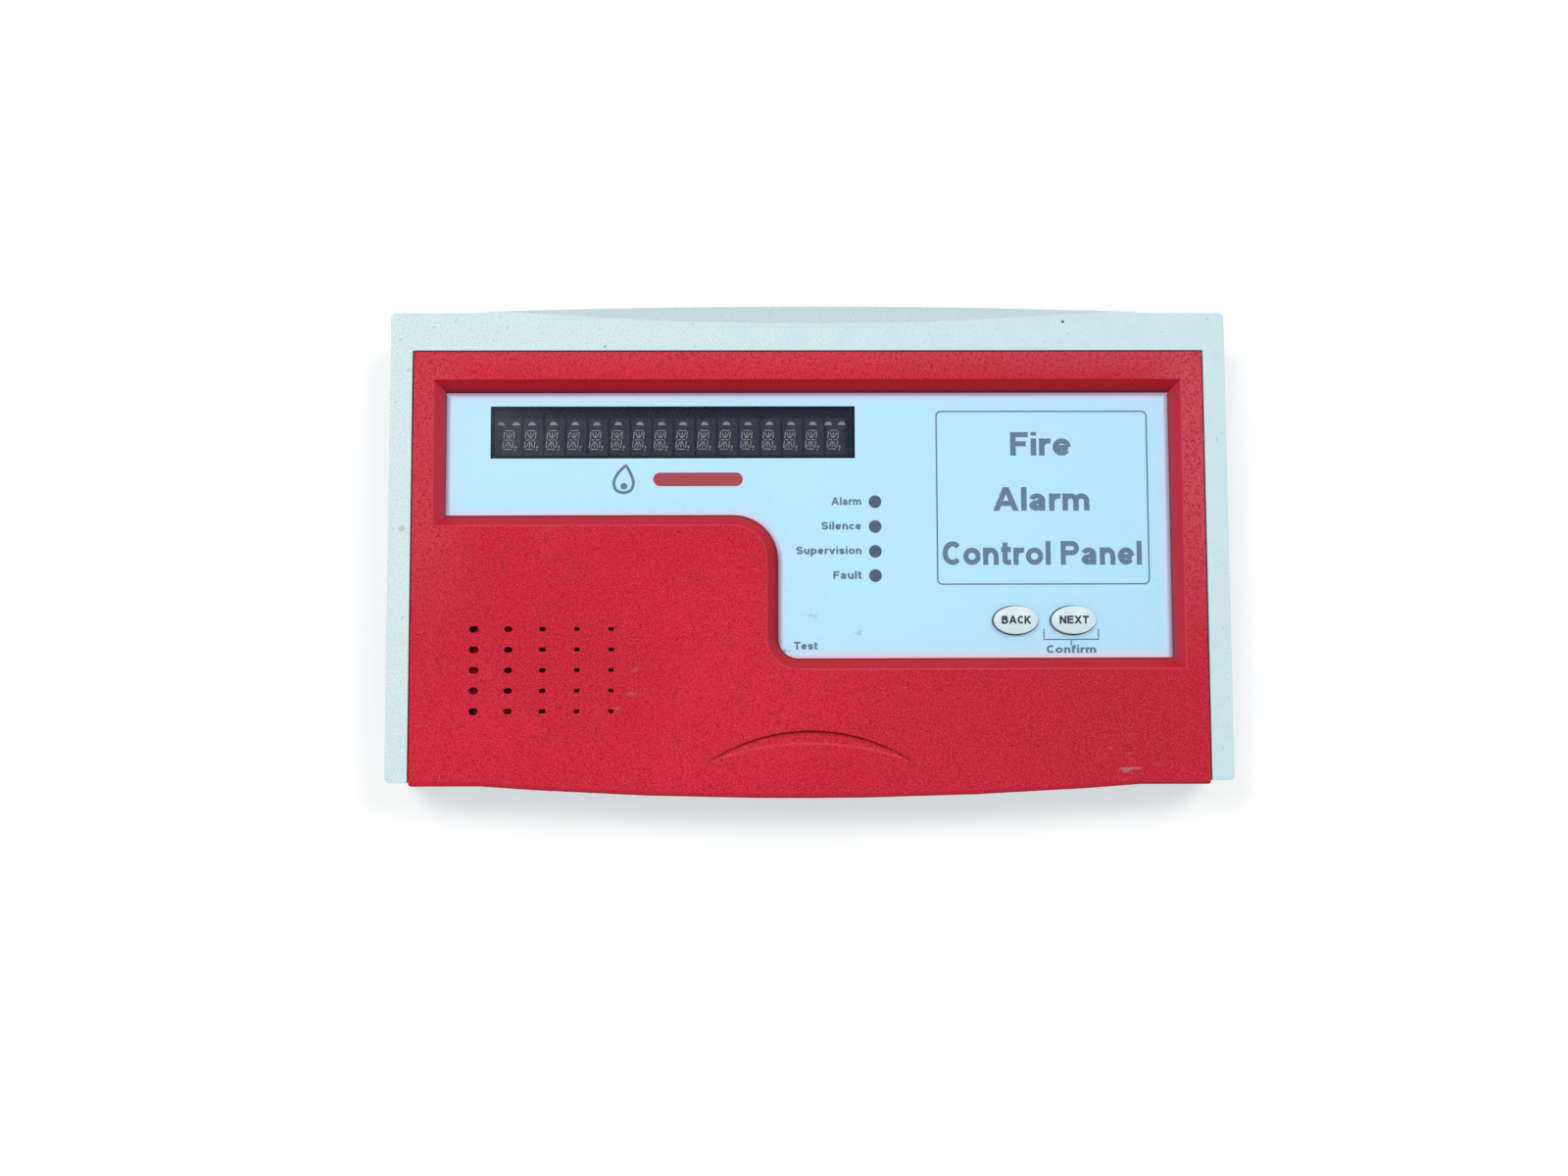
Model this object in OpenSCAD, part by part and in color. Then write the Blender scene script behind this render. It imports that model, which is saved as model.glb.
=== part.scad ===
// Wall-mounted fire alarm annunciator: a shallow off-white housing with a red faceplate,
// hung on a wall base by two hinge pins along its top edge.
// Millimetres. +X is right, +Z is up, the front faces -Y and the wall is the plane y = 0.
// Each part is drawn lying down, with x across, y up and z out from the wall, and upright() stands it up.

/* [Housing] */
// Width of the housing
housing_w = 206; // [205:0.5:210]
// Height of the housing at its corners
housing_h = 115.4; // [115:0.2:117]
// Depth from the wall to the front face
housing_d = 25; // [25:0.5:27]
// Thickness of the moulded walls
wall = 2.2; // [2:0.1:2.4]
// Radius of the housing's front corners
corner_r = 1.3; // [0.8:0.1:2]
// How far the top edge bulges up at the middle
top_bulge = 2.6; // [2:0.1:2.6]
// How far the bottom edge bulges down at the middle
bottom_bulge = 3.1; // [2:0.1:3.4]

/* [Faceplate] */
// Width of the red faceplate
face_w = 194.5; // [194:0.5:195]
// Height of the faceplate's top edge above the centre
face_top = 48; // [47.8:0.1:48.4]
// Thickness of the faceplate
face_t = 2.2; // [2:0.1:2.4]
// Depth of the label panel below the faceplate
recess_depth = 3; // [2.8:0.1:3]
// Width of the bevel round the label panel
bevel = 2.8; // [2:0.1:3]

/* [Display] */
// Width of the display window
window_w = 90; // [86:0.2:90]
// Height of the display window
window_h = 13; // [11:0.2:13]
// Number of characters
characters = 16; // [8:1:17]

/* [Keys and lights] */
// Width of a key
key_w = 10.8; // [9:0.2:11.2]
// Height of a key
key_h = 6.8; // [6:0.2:7.2]
// Travel of a key
key_travel = 0.8; // [0.4:0.1:0.8]
// Diameter of a status light
light_d = 3; // [2.6:0.1:3.2]

/* [Speaker] */
// Outer diameter of the speaker
speaker_d = 36; // [34:1:36]
// Distance between the columns of sound holes
hole_pitch_x = 8.35; // [7:0.05:8.4]
// Distance between the rows of sound holes
hole_pitch_y = 5; // [4:0.1:5.2]

/* [Wall base] */
// Thickness of the wall base
base_t = 2.2; // [2:0.1:2.4]
// Distance between the box screws, across
box_x = 92.1; // [92.1, 46]
// Distance between the box screws, up
box_y = 83.3; // [83.3]
// Radius of a screw hole for the box
box_hole_r = 2.15; // [2:0.05:2.3]
// Width of the cable entry
cable_w = 38; // [24:1:38]
// Height of the cable entry
cable_h = 24; // [16:1:24]

/* [Hinge] */
// Radius of the hinge pins
pin_r = 1.2; // [1:0.05:1.2]
// Clearance round a hinge pin
pin_gap = 0.1; // [0.08:0.01:0.15]

/* [Hidden] */
$fn = 64;

// Segments in the circles of very large radius
BIG = 1440;
// Overlap that keeps a cut clear of the surface it passes
OVER = 1;
// Gap between a screw's thread and its pilot hole
THREAD_GAP = 0.03;

OFF_WHITE = [0.86, 0.89, 0.90];
RED = [0.80, 0.13, 0.21];
LABEL = [0.76, 0.88, 0.95];
DARK_DOT = [0.30, 0.36, 0.44];
SMOKE = [0.15, 0.18, 0.22, 0.8];
GLASS = [0.45, 0.50, 0.52];
KEY = [0.85, 0.90, 0.89];
BOARD = [0.10, 0.35, 0.22];
BLACK = [0.10, 0.10, 0.11];
STEEL = [0.70, 0.71, 0.72];

// Housing
half_w = housing_w / 2;
half_h = housing_h / 2;
rear_gap = 1;
cavity_x = half_w - wall;
cavity_y = half_h - wall;
bottom_chord = 80;
top_chord = 85;
top_fade = 5;

// Faceplate
face_x = face_w / 2;
face_back = housing_d - face_t;
face_gap = 0.35;
face_bottom = -half_h - 0.85;
ledge_front = face_back - 0.2;
ledge_back = ledge_front - 2;
ledge_in = 2.85;
ledge_top = 46;
ledge_bottom = -54;
strip_pocket = 1.9;

// Facet along the top of the housing: lowest point, radius and depth
facet_low = 55.05;
facet_r = 962;
facet_d = 4;
facet_rise = half_h + top_bulge - facet_low;
facet_back = housing_d - facet_d;

// Label panel: an upper band, and a right-hand part that reaches lower
panel_front = housing_d - recess_depth;
panel_back = panel_front - 1.8;
band_left = -89.6;
panel_right = 89.3;
panel_top = 38.3;
band_bottom = 7.6;
side_left = -7.8;
side_bottom = -27.8;
inner_r = 11;
outer_r = 5;
overlay_t = 0.3;

// Display
window_x = -33.6;
window_y = 28.35;
lens_ledge = 1;
vfd_w = 100;
vfd_h = 22;
vfd_back = 15.2;
vfd_wall_t = 2;
character_pitch = 5.39;
lead_count = 36;
lead_pitch = 2.54;

// Lights: from the top, fire, silenced, supervisory and trouble
light_x = 16.27;
light_y = [10.96, 4.79, -1.36, -7.37];
light_pipe_r = 1.2;
led_r = 1.5;
led_seat = 17.3;
led_dome = 18.5;
led_lead_gap = 1.27;

// Keys
prev_pos = [50.5, -18.5];
next_pos = [64.7, -18.5];
key_gap = 0.3;
key_top = housing_d - 0.1;
key_dome_r = 16;
key_flange_top = panel_back - 0.15;
key_flange_t = 1.05;
switch_size = 6;
switch_top = 17.2;
plunger_top = 17.95;
plunger_l = 1.55;
plunger_r = 1.7;
key_stem_r = 1.6;

// Board
board_back = 12.2;
board_t = 1.6;
board_front = board_back + board_t;
board_x = 91;
board_y = [-36, 41];
board_notch = [-28, -9.5];
board_posts = [[-87.3, 37.5], [-87.3, -4.5], [23, 37.5], [87.3, 37.5], [87.3, -27], [24, -26]];

// Faceplate fixings
face_posts = [[-91, -18], [-91, -50], [91, -50], [-35, -50], [35, -50]];
hook_x = [-70, 0, 70];
ear_back = 18.5;

// Speaker
speaker_pos = [-65.1, -30.5];
strap_reach = 24;
strap_back = 6.8;
strap_t = 1.2;
magnet_r = 10;
magnet_back = strap_back + strap_t;
magnet_front = 13.2;
flange_back = 21.1;
flange_front = 21.9;
hole_widths = [2.3, 2.0, 1.7, 1.5, 1.4];
hole_heights = [1.6, 1.3, 1.0, 0.9, 0.9];

// Thumb notch: the upper arc is deep, and the floor rises to the face at the lower arc
notch_upper_r = 44.7;
notch_upper_y = -90.1;
notch_lower_r = 70.9;
notch_lower_y = -119.4;
notch_depth = 1.2;
notch_run = 3.1;

// Wall base
base_x = cavity_x - 0.5;
base_bottom = -cavity_y + 0.9;
base_top = cavity_y - 2.3;
rim_t = 1.6;
rim_d = 7;
cable_pos = [33, 0];

// Hinge
hinge_y = cavity_y + 0.4;
hinge_z = 3.2;
hinge_x = [-55, 55];
hinge_notch = 12;
hinge_ear = 10;
ear_front = hinge_z + pin_r + pin_gap + 1.4;

// Address switch
address_pos = [62, -24];
address_size = [9.8, 17.2];
address_back = 7.9;
slider_pitch = 2.54;
slider_travel = 2.2;

// Parts on the back of the board
micro_pos = [70, 8];
driver_pos = [[-62, 24], [-28, 24]];
cap_pos = [[62, 31], [73, 31], [83, 22]];
cap_back = 4.8;
coil_pos = [8.5, 28];
coil_back = 4.6;
crystal_pos = [50, 22];

// Cable terminals
header_x = [20, 41.3];
header_y = [26, 34];
plug_y = 15;
way_pitch = 5.08;

// Tamper switch, pressed by a post on the wall base
tamper_pos = [2, -28];
tamper_tip = 4.9;
tamper_back = 6.2;

// Routes of the speaker's leads, from the terminal tab to the plug
lead_r = 0.6;
red_route = [
    [-51.6, -22, 19.3], [-51.4, -22, 17], [-49.5, -21.8, 14], [-45, -21.2, 11],
    [-39, -20.6, 10], [-33, -20.4, 9.9], [-27.2, -20.4, 9.9]
];
black_route = [
    [-49.4, -22, 19.3], [-49.2, -22.2, 17.4], [-47.2, -22.6, 14.8], [-43, -23, 11.8],
    [-38, -23, 10.2], [-33, -22.9, 9.9], [-27.2, -22.9, 9.9]
];

function arc_r(chord, sagitta) = (chord * chord + sagitta * sagitta) / (2 * sagitta);

// How far the bottom edge has bulged at x
function bulge_at(x) =
    let (r = arc_r(bottom_chord, bottom_bulge))
    abs(x) < bottom_chord ? bottom_bulge - r + sqrt(r * r - x * x) : 0;

// Range of the given half-width about a middle value
function span(mid, half) = [mid - half, mid + half];

function shift(range, by) = [for (value = range) value + by];

function ellipse(w, h, sides = 48) =
    [for (i = [0 : sides - 1]) [w / 2 * cos(360 * i / sides), h / 2 * sin(360 * i / sides)]];

module upright() {
    rotate([90, 0, 0])
        children();
}

// Box between two corners
module block(x, y, z) {
    translate([x[0], y[0], z[0]])
        cube([x[1] - x[0], y[1] - y[0], z[1] - z[0]]);
}

module post(pos, z, r) {
    translate([pos[0], pos[1], z[0]])
        cylinder(h = z[1] - z[0], r = r);
}

module rounded(w, h, r) {
    square([w - 2 * r, h], center = true);
    square([w, h - 2 * r], center = true);
    for (sx = [-1, 1], sy = [-1, 1])
        translate([sx * (w / 2 - r), sy * (h / 2 - r)])
            circle(r);
}

// Part of a large circle that stands above a chord on the x axis, and runs on a little below it
module segment(chord, sagitta) {
    r = arc_r(chord, sagitta);
    reach = chord + 5;
    intersection() {
        translate([0, sagitta - r])
            circle(r, $fn = BIG);
        translate([-reach, -OVER])
            square([2 * reach, sagitta + 2 * OVER]);
    }
}

// Screw with a pan head at z[0], a cross recess and a shank that ends at z[1]
module screw(pos, z, head_r, head_t, shank_r) {
    difference() {
        union() {
            post(pos, [z[0], z[0] + head_t], head_r);
            post(pos, [z[0], z[1]], shank_r);
        }
        for (turn = [0, 90])
            translate([pos[0], pos[1], z[0]])
                rotate(turn)
                    cube([head_r * 1.3, 0.5, head_t], center = true);
    }
}

// Frustum over a rectangle, opening by one bevel to the front face and half as much again above it
module recess_block(x, y) {
    out = 1.5 * bevel;
    top = panel_front + 1.5 * recess_depth;
    intersection() {
        translate([0, y[1] + 2 * out, 0])
            rotate([90, 0, 0])
                linear_extrude(y[1] - y[0] + 4 * out)
                    polygon([
                        [x[0], panel_front], [x[1], panel_front],
                        [x[1] + out, top], [x[0] - out, top]
                    ]);
        translate([x[0] - 2 * out, 0, 0])
            rotate([90, 0, 90])
                linear_extrude(x[1] - x[0] + 4 * out)
                    polygon([
                        [y[0], panel_front], [y[1], panel_front],
                        [y[1] + out, top], [y[0] - out, top]
                    ]);
    }
}

// Cone about a corner of the panel, its radius growing by grow mm from the panel to the front face
module corner_cone(pos, r, grow) {
    translate([pos[0], pos[1], panel_front - recess_depth / 2])
        cylinder(h = 2 * recess_depth, r1 = r - grow / 2, r2 = r + 1.5 * grow);
}

module panel_recess() {
    inner = [side_left - inner_r, band_bottom - inner_r];
    outer = [side_left + outer_r, side_bottom + outer_r];
    reach = 2 * bevel;
    recess_block([band_left, panel_right], [band_bottom, panel_top]);
    difference() {
        recess_block([side_left, panel_right], [side_bottom, panel_top]);
        difference() {
            block(
                [side_left - reach, outer[0]],
                [side_bottom - reach, outer[1]],
                [panel_front - OVER, housing_d + recess_depth / 2]
            );
            corner_cone(outer, outer_r, bevel);
        }
    }
    difference() {
        block([inner[0], side_left + OVER], [inner[1], band_bottom + OVER], [panel_front, housing_d + OVER]);
        corner_cone(inner, inner_r, -bevel);
    }
}

// Outline of the label panel, moved out by grow mm
module panel_outline(grow) {
    translate([band_left - grow, band_bottom - grow])
        square([panel_right - band_left + 2 * grow, panel_top - band_bottom + 2 * grow]);
    difference() {
        translate([side_left - grow, side_bottom - grow])
            square([panel_right - side_left + 2 * grow, panel_top - side_bottom + 2 * grow]);
        difference() {
            translate([side_left - grow - OVER, side_bottom - grow - OVER])
                square(outer_r + grow + OVER);
            translate([side_left + outer_r, side_bottom + outer_r])
                circle(outer_r + grow);
        }
    }
    difference() {
        translate([side_left - inner_r, band_bottom - inner_r])
            square(inner_r + OVER);
        translate([side_left - inner_r, band_bottom - inner_r])
            circle(inner_r - grow);
    }
}

module window(z, shrink) {
    block(span(window_x, window_w / 2 - shrink), span(window_y, window_h / 2 - shrink), z);
}

module key_openings(z) {
    for (pos = [prev_pos, next_pos])
        translate([pos[0], pos[1], z[0]])
            linear_extrude(z[1] - z[0])
                polygon(ellipse(key_w + 2 * key_gap, key_h + 2 * key_gap));
}

module slot(w, h, z) {
    translate([0, 0, z[0]])
        linear_extrude(z[1] - z[0]) {
            square([w - h, h], center = true);
            for (side = [-1, 1])
                translate([side * (w - h) / 2, 0])
                    circle(h / 2);
        }
}

// Plate that hangs on the wall and carries the hinge ears and the tamper post
module wall_base() {
    color(OFF_WHITE) upright() {
        difference() {
            union() {
                block([-base_x, base_x], [base_bottom, base_top], [0, rim_d]);
                for (x = hinge_x)
                    block([x - hinge_ear / 2, x + hinge_ear / 2], [base_top - rim_t, hinge_y + 1.1], [0, ear_front]);
            }
            block(
                [-base_x + rim_t, base_x - rim_t],
                [base_bottom + rim_t, base_top - rim_t],
                [base_t, rim_d + OVER]
            );
            block(
                span(cable_pos[0], cable_w / 2),
                span(cable_pos[1], cable_h / 2),
                [-OVER, rim_d]
            );
            for (sx = [-1, 0, 1], sy = [-1, 1])
                post([sx * box_x / 2, sy * box_y / 2], [-OVER, base_t + OVER], box_hole_r);
            for (x = hinge_x) {
                translate([x - hinge_ear, hinge_y, hinge_z])
                    rotate([0, 90, 0])
                        cylinder(h = 2 * hinge_ear, r = pin_r + pin_gap);
                block(
                    span(x, hinge_ear),
                    [hinge_y, hinge_y + 3],
                    span(hinge_z, pin_r + pin_gap)
                );
            }
        }
        difference() {
            block(
                span(cable_pos[0], cable_w / 2 + 1.4),
                span(cable_pos[1], cable_h / 2 + 1.4),
                [base_t - 0.2, base_t + 1.6]
            );
            block(span(cable_pos[0], cable_w / 2), span(cable_pos[1], cable_h / 2), [0, rim_d]);
        }
        post(tamper_pos, [base_t - 0.2, tamper_tip - 0.05], 2.2);
    }
}

// Blank data plate on the inside of the wall base
module base_label() {
    color([0.80, 0.81, 0.82]) upright()
        block([-38, -8], [-34, -16], [base_t, base_t + 0.15]);
}

// Outer shell: four walls, the front rim, the hinge pins and the fixing ears
module front_housing() {
    top_r = arc_r(top_chord, top_bulge);
    color(OFF_WHITE) upright() {
        difference() {
            union() {
                translate([0, 0, rear_gap])
                    linear_extrude(housing_d - rear_gap)
                        rounded(housing_w, housing_h, corner_r);
                translate([0, 0, rear_gap])
                    linear_extrude(housing_d - rear_gap)
                        translate([0, -half_h])
                            mirror([0, 1])
                                segment(bottom_chord, bottom_bulge);
                intersection() {
                    translate([0, half_h + top_bulge - top_r, 0]) {
                        translate([0, 0, top_fade])
                            cylinder(h = facet_back - top_fade, r1 = top_r - top_bulge, r2 = top_r, $fn = BIG);
                        translate([0, 0, facet_back])
                            cylinder(h = facet_d, r = top_r, $fn = BIG);
                    }
                    block(span(0, top_chord + 5), [half_h - 1, half_h + 3], [top_fade, housing_d]);
                }
            }
            // inside
            block([-cavity_x, cavity_x], [-cavity_y, cavity_y], [0, ledge_back]);
            translate([0, -cavity_y, 0])
                linear_extrude(ledge_back)
                    mirror([0, 1])
                        segment(bottom_chord, bottom_bulge);
            block(
                [-face_x, face_x],
                [face_top + face_gap + strip_pocket, cavity_y],
                [ledge_back - OVER, ledge_front]
            );
            // seat of the faceplate, open at the bottom, and the opening behind it
            block(
                span(0, face_x + face_gap),
                [-half_h - 10, face_top + face_gap],
                [ledge_front, housing_d + OVER]
            );
            block(
                span(0, face_x + face_gap - ledge_in),
                [ledge_bottom, ledge_top],
                [ledge_back - OVER, ledge_front + OVER]
            );
            // facet along the top
            translate([0, facet_low + facet_r, facet_back])
                cylinder(
                    h = facet_d + OVER,
                    r1 = facet_r - facet_rise,
                    r2 = facet_r + facet_rise * OVER / facet_d,
                    $fn = BIG
                );
            // notches for the hinge ears
            for (x = hinge_x)
                block(span(x, hinge_notch / 2), [cavity_y - OVER, half_h + 3], [0, 8]);
        }
        for (x = hinge_x)
            translate([x - hinge_notch / 2 - 0.5, hinge_y, hinge_z])
                rotate([0, 90, 0])
                    cylinder(h = hinge_notch + 1, r = pin_r);
        // ears that carry the faceplate's screws
        for (pos = face_posts)
            difference() {
                union() {
                    post(pos, [ear_back, ledge_back], 3.4);
                    if (pos[1] > ledge_bottom + 10)
                        block([-cavity_x - 1, pos[0]], span(pos[1], 3.4), [ear_back, ledge_back]);
                    else
                        block(
                            span(pos[0], 3.4),
                            [-half_h - bulge_at(abs(pos[0]) + 3.4) + 0.8, pos[1]],
                            [ear_back, ledge_back]
                        );
                }
                post(pos, [ear_back - OVER, ledge_back + OVER], 1.7);
            }
    }
}

// Red front plate with the recessed label panel, posts and the speaker's seat
module red_faceplate() {
    color(RED) upright()
        difference() {
            union() {
                translate([0, (face_top + face_bottom) / 2, face_back])
                    linear_extrude(face_t)
                        rounded(face_w, face_top - face_bottom, 0.8);
                translate([0, face_bottom, face_back])
                    linear_extrude(face_t)
                        mirror([0, 1])
                            segment(bottom_chord, bottom_bulge);
                translate([0, 0, panel_back])
                    linear_extrude(face_back - panel_back + 0.2)
                        panel_outline(bevel);
                for (pos = board_posts)
                    post(pos, [board_front, face_back + 0.2], 2.75);
                for (pos = face_posts)
                    post(pos, [ledge_back + 0.1, face_back + 0.2], 3);
                for (side = [-1, 1])
                    post(speaker_pos + [side * strap_reach, 0], [magnet_back, face_back + 0.2], 3);
                for (x = hook_x) {
                    block(span(x, 5), [43, 45.6], [ear_back - 0.1, face_back + 0.2]);
                    block(span(x, 5), [43, 49], [ear_back - 0.1, ledge_back - 0.2]);
                }
                difference() {
                    post(speaker_pos, [flange_back + 0.3, face_back + 0.2], speaker_d / 2 + 1.7);
                    post(speaker_pos, [flange_back - OVER, face_back], speaker_d / 2 + 0.3);
                }
            }
            panel_recess();
            window([panel_back - OVER, panel_front + OVER], lens_ledge);
            window([panel_front - 1.1, panel_front + OVER], 0);
            for (y = light_y)
                post([light_x, y], [panel_back - OVER, panel_front + OVER], light_pipe_r);
            key_openings([panel_back - OVER, panel_front + OVER]);
            for (i = [0 : 4], j = [-2 : 2])
                translate([speaker_pos[0] + (i - 2) * hole_pitch_x, speaker_pos[1] + j * hole_pitch_y, 0])
                    slot(hole_widths[i], hole_heights[i], [face_back - OVER, housing_d + OVER]);
            for (pos = board_posts)
                post(pos, [board_front - OVER, 19.4], 1.2);
            for (pos = face_posts)
                post(pos, [ledge_back - OVER, housing_d - 0.8], 1.2);
            for (side = [-1, 1])
                post(speaker_pos + [side * strap_reach, 0], [magnet_back - OVER, 16], 1.2);
            // thumb notch
            difference() {
                post([0, notch_upper_y], [housing_d - notch_depth, housing_d + OVER], notch_upper_r);
                translate([0, notch_lower_y, housing_d - 2 * notch_depth])
                    cylinder(
                        h = 2 * notch_depth + 2 * OVER,
                        r1 = notch_lower_r + 2 * notch_run,
                        r2 = notch_lower_r - 2 * OVER * notch_run / notch_depth,
                        $fn = 360
                    );
            }
        }
}

// Printed polycarbonate sheet over the label panel
module label_overlay() {
    color(LABEL) upright()
        difference() {
            translate([0, 0, panel_front])
                linear_extrude(overlay_t)
                    panel_outline(-0.12);
            window([panel_front - OVER, panel_front + OVER], 0);
            for (y = light_y)
                post([light_x, y], [panel_front - OVER, panel_front + OVER], light_d / 2 + 0.05);
            key_openings([panel_front - OVER, panel_front + OVER]);
        }
}

module status_lenses() {
    color(DARK_DOT) upright()
        for (y = light_y)
            post([light_x, y], [panel_front, panel_front + overlay_t + 0.05], light_d / 2);
}

module display_lens() {
    color(SMOKE) upright()
        window([panel_front - 1.1, panel_front + overlay_t - 0.05], 0.15);
}

// Vacuum fluorescent display: rear glass, spacer frame, front glass, grids and leads
module vfd_plate(z, w, h) {
    block(span(window_x, w / 2), span(window_y, h / 2), z);
}

module vfd_substrate() {
    color(GLASS) upright()
        vfd_plate([vfd_back, vfd_back + 1.4], vfd_w, vfd_h);
}

module vfd_frame() {
    color(GLASS * 0.8) upright()
        difference() {
            vfd_plate([vfd_back + 1.4, vfd_back + 3.4], vfd_w, vfd_h);
            vfd_plate([vfd_back, vfd_back + 5], vfd_w - 2 * vfd_wall_t, vfd_h - 2 * vfd_wall_t);
        }
}

module vfd_front_glass() {
    color(GLASS) upright()
        vfd_plate([vfd_back + 3.4, vfd_back + 4.8], vfd_w, vfd_h);
}

module vfd_grids() {
    color(STEEL) upright()
        for (i = [0 : characters - 1])
            translate([window_x + (i - (characters - 1) / 2) * character_pitch, window_y - 1.4, 0])
                block([-2.35, 2.35], [-5, 5.6], shift([2.6, 2.7], vfd_back));
}

module vfd_leads() {
    edge = window_y - vfd_h / 2;
    color(STEEL) upright()
        for (i = [0 : lead_count - 1])
            translate([window_x + (i - (lead_count - 1) / 2) * lead_pitch, 0, 0]) {
                block([-0.25, 0.25], [edge - 1.3, edge], shift([0.9, 1.2], vfd_back));
                block([-0.25, 0.25], [edge - 1.3, edge - 1], [board_front, vfd_back + 1.2]);
            }
}

module vfd_cushions() {
    color(BLACK) upright()
        for (side = [-1, 1])
            translate([window_x + side * 44, window_y, 0])
                block([-3, 3], [-9, 9], [board_front, vfd_back]);
}

// Printed circuit board with its fixing holes and the lights' lead holes
module main_board() {
    color(BOARD) upright()
        difference() {
            translate([0, 0, board_back])
                linear_extrude(board_t)
                    polygon([
                        [-board_x, board_y[1]], [board_x, board_y[1]], [board_x, board_y[0]],
                        [board_notch[0], board_y[0]], board_notch, [-board_x, board_notch[1]]
                    ]);
            for (pos = board_posts)
                post(pos, [board_back - OVER, board_front + OVER], 1.6);
            for (y = light_y, side = [-1, 1])
                post([light_x + side * led_lead_gap, y], [board_back - OVER, board_front + OVER], 0.4);
        }
}

// Light-emitting diode: domed body, base flange and two leads
module led(y, tint) {
    color(tint) upright() {
        post([light_x, y], [led_seat, led_dome], led_r);
        post([light_x, y], [led_seat, led_seat + 0.7], led_r + 0.3);
        intersection() {
            translate([light_x, y, led_dome])
                sphere(led_r);
            post([light_x, y], [led_dome - OVER, led_dome + 2 * led_r], led_r + OVER);
        }
        for (side = [-1, 1])
            post([light_x + side * led_lead_gap, y], [board_back - 1.2, led_seat + 0.1], 0.25);
    }
}

module led_fire() { led(light_y[0], [0.85, 0.20, 0.18]); }
module led_silenced() { led(light_y[1], [0.90, 0.75, 0.25]); }
module led_supervisory() { led(light_y[2], [0.90, 0.75, 0.25]); }
module led_trouble() { led(light_y[3], [0.90, 0.75, 0.25]); }

module led_block() {
    color(BLACK) upright()
        difference() {
            block(span(light_x, 2.3), [light_y[3] - 2.3, light_y[0] + 2.3], [board_front, led_seat]);
            for (y = light_y, side = [-1, 1])
                post([light_x + side * led_lead_gap, y], [board_front - OVER, led_seat + OVER], 0.4);
        }
}

// Domed oval key with a flange that stops it behind the panel
module key(pos) {
    flange_back = key_flange_top - key_flange_t;
    color(KEY) upright()
        translate([pos[0], pos[1], 0]) {
            intersection() {
                translate([0, 0, flange_back])
                    linear_extrude(key_top - flange_back)
                        polygon(ellipse(key_w, key_h));
                translate([0, 0, key_top - key_dome_r])
                    sphere(key_dome_r, $fn = 128);
            }
            translate([0, 0, flange_back])
                linear_extrude(key_flange_t)
                    polygon(ellipse(key_w + 2, key_h + 2));
            post([0, 0], [plunger_top, flange_back + 0.1], key_stem_r);
        }
}

module prev_key() { key(prev_pos); }
module next_key() { key(next_pos); }

module key_switch(pos) {
    color(BLACK) upright()
        translate([pos[0], pos[1], 0])
            difference() {
                block(span(0, switch_size / 2), span(0, switch_size / 2), [board_front, switch_top]);
                post(
                    [0, 0],
                    [plunger_top - plunger_l - key_travel - 0.2, switch_top + OVER],
                    plunger_r + 0.1
                );
            }
}

module prev_switch() { key_switch(prev_pos); }
module next_switch() { key_switch(next_pos); }

module key_plunger(pos) {
    color([0.25, 0.25, 0.27]) upright()
        post(pos, [plunger_top - plunger_l, plunger_top], plunger_r);
}

module prev_plunger() { key_plunger(prev_pos); }
module next_plunger() { key_plunger(next_pos); }

// Speaker: basket, cone, magnet, gasket, and the strap that holds it
module turned(points) {
    translate([speaker_pos[0], speaker_pos[1], 0])
        rotate_extrude($fn = 96)
            polygon(points);
}

module speaker_basket() {
    color(STEEL) upright() {
        turned([
            [4.5, magnet_front], [10.8, magnet_front], [15.6, flange_back], [speaker_d / 2, flange_back],
            [speaker_d / 2, flange_front], [14.9, flange_front], [10.2, 14], [4.5, 14]
        ]);
        block([-52.5, -48.5], [-24, -20], [19.3, flange_back + 0.1]);
    }
}

module speaker_cone() {
    color([0.22, 0.21, 0.20]) upright()
        turned([
            [0, 17.6], [3.6, 16.5], [12.8, 21.2], [13.6, flange_front], [15.3, flange_front],
            [15.3, flange_front + 0.25], [13.4, flange_front + 0.25], [12.6, 21.6], [3.4, 17], [0, 18.2]
        ]);
}

module speaker_magnet() {
    color([0.35, 0.35, 0.37]) upright()
        post(speaker_pos, [magnet_back, magnet_front], magnet_r);
}

module speaker_gasket() {
    color(BLACK) upright()
        difference() {
            post(speaker_pos, [flange_front, face_back], speaker_d / 2);
            post(speaker_pos, [flange_front - OVER, face_back + OVER], 15.5);
        }
}

module speaker_strap() {
    color(STEEL) upright()
        translate([speaker_pos[0], speaker_pos[1], 0])
            difference() {
                translate([0, 0, strap_back])
                    linear_extrude(strap_t)
                        rounded(2 * strap_reach + 8, 10, 2);
                for (side = [-1, 1])
                    post([side * strap_reach, 0], [strap_back - OVER, strap_back + 2 * OVER], 1.6);
            }
}

module strap_screws() {
    color(STEEL) upright()
        for (side = [-1, 1])
            screw(speaker_pos + [side * strap_reach, 0], [strap_back - 2, 14], 2.7, 2, 1.2 - THREAD_GAP);
}

// Point at t between points i and i + 1 of a smooth curve through every point of p
function curve_point(p, i, t) =
    let (
        a = p[max(i - 1, 0)], b = p[i], c = p[i + 1], d = p[min(i + 2, len(p) - 1)]
    )
    0.5 * (2 * b + (c - a) * t + (2 * a - 5 * b + 4 * c - d) * t * t + (3 * b - a - 3 * c + d) * t * t * t);

function curve(p, steps) =
    [for (i = [0 : len(p) - 2], s = [0 : steps - 1]) curve_point(p, i, s / steps), p[len(p) - 1]];

function unit(v) = v / norm(v);

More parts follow.
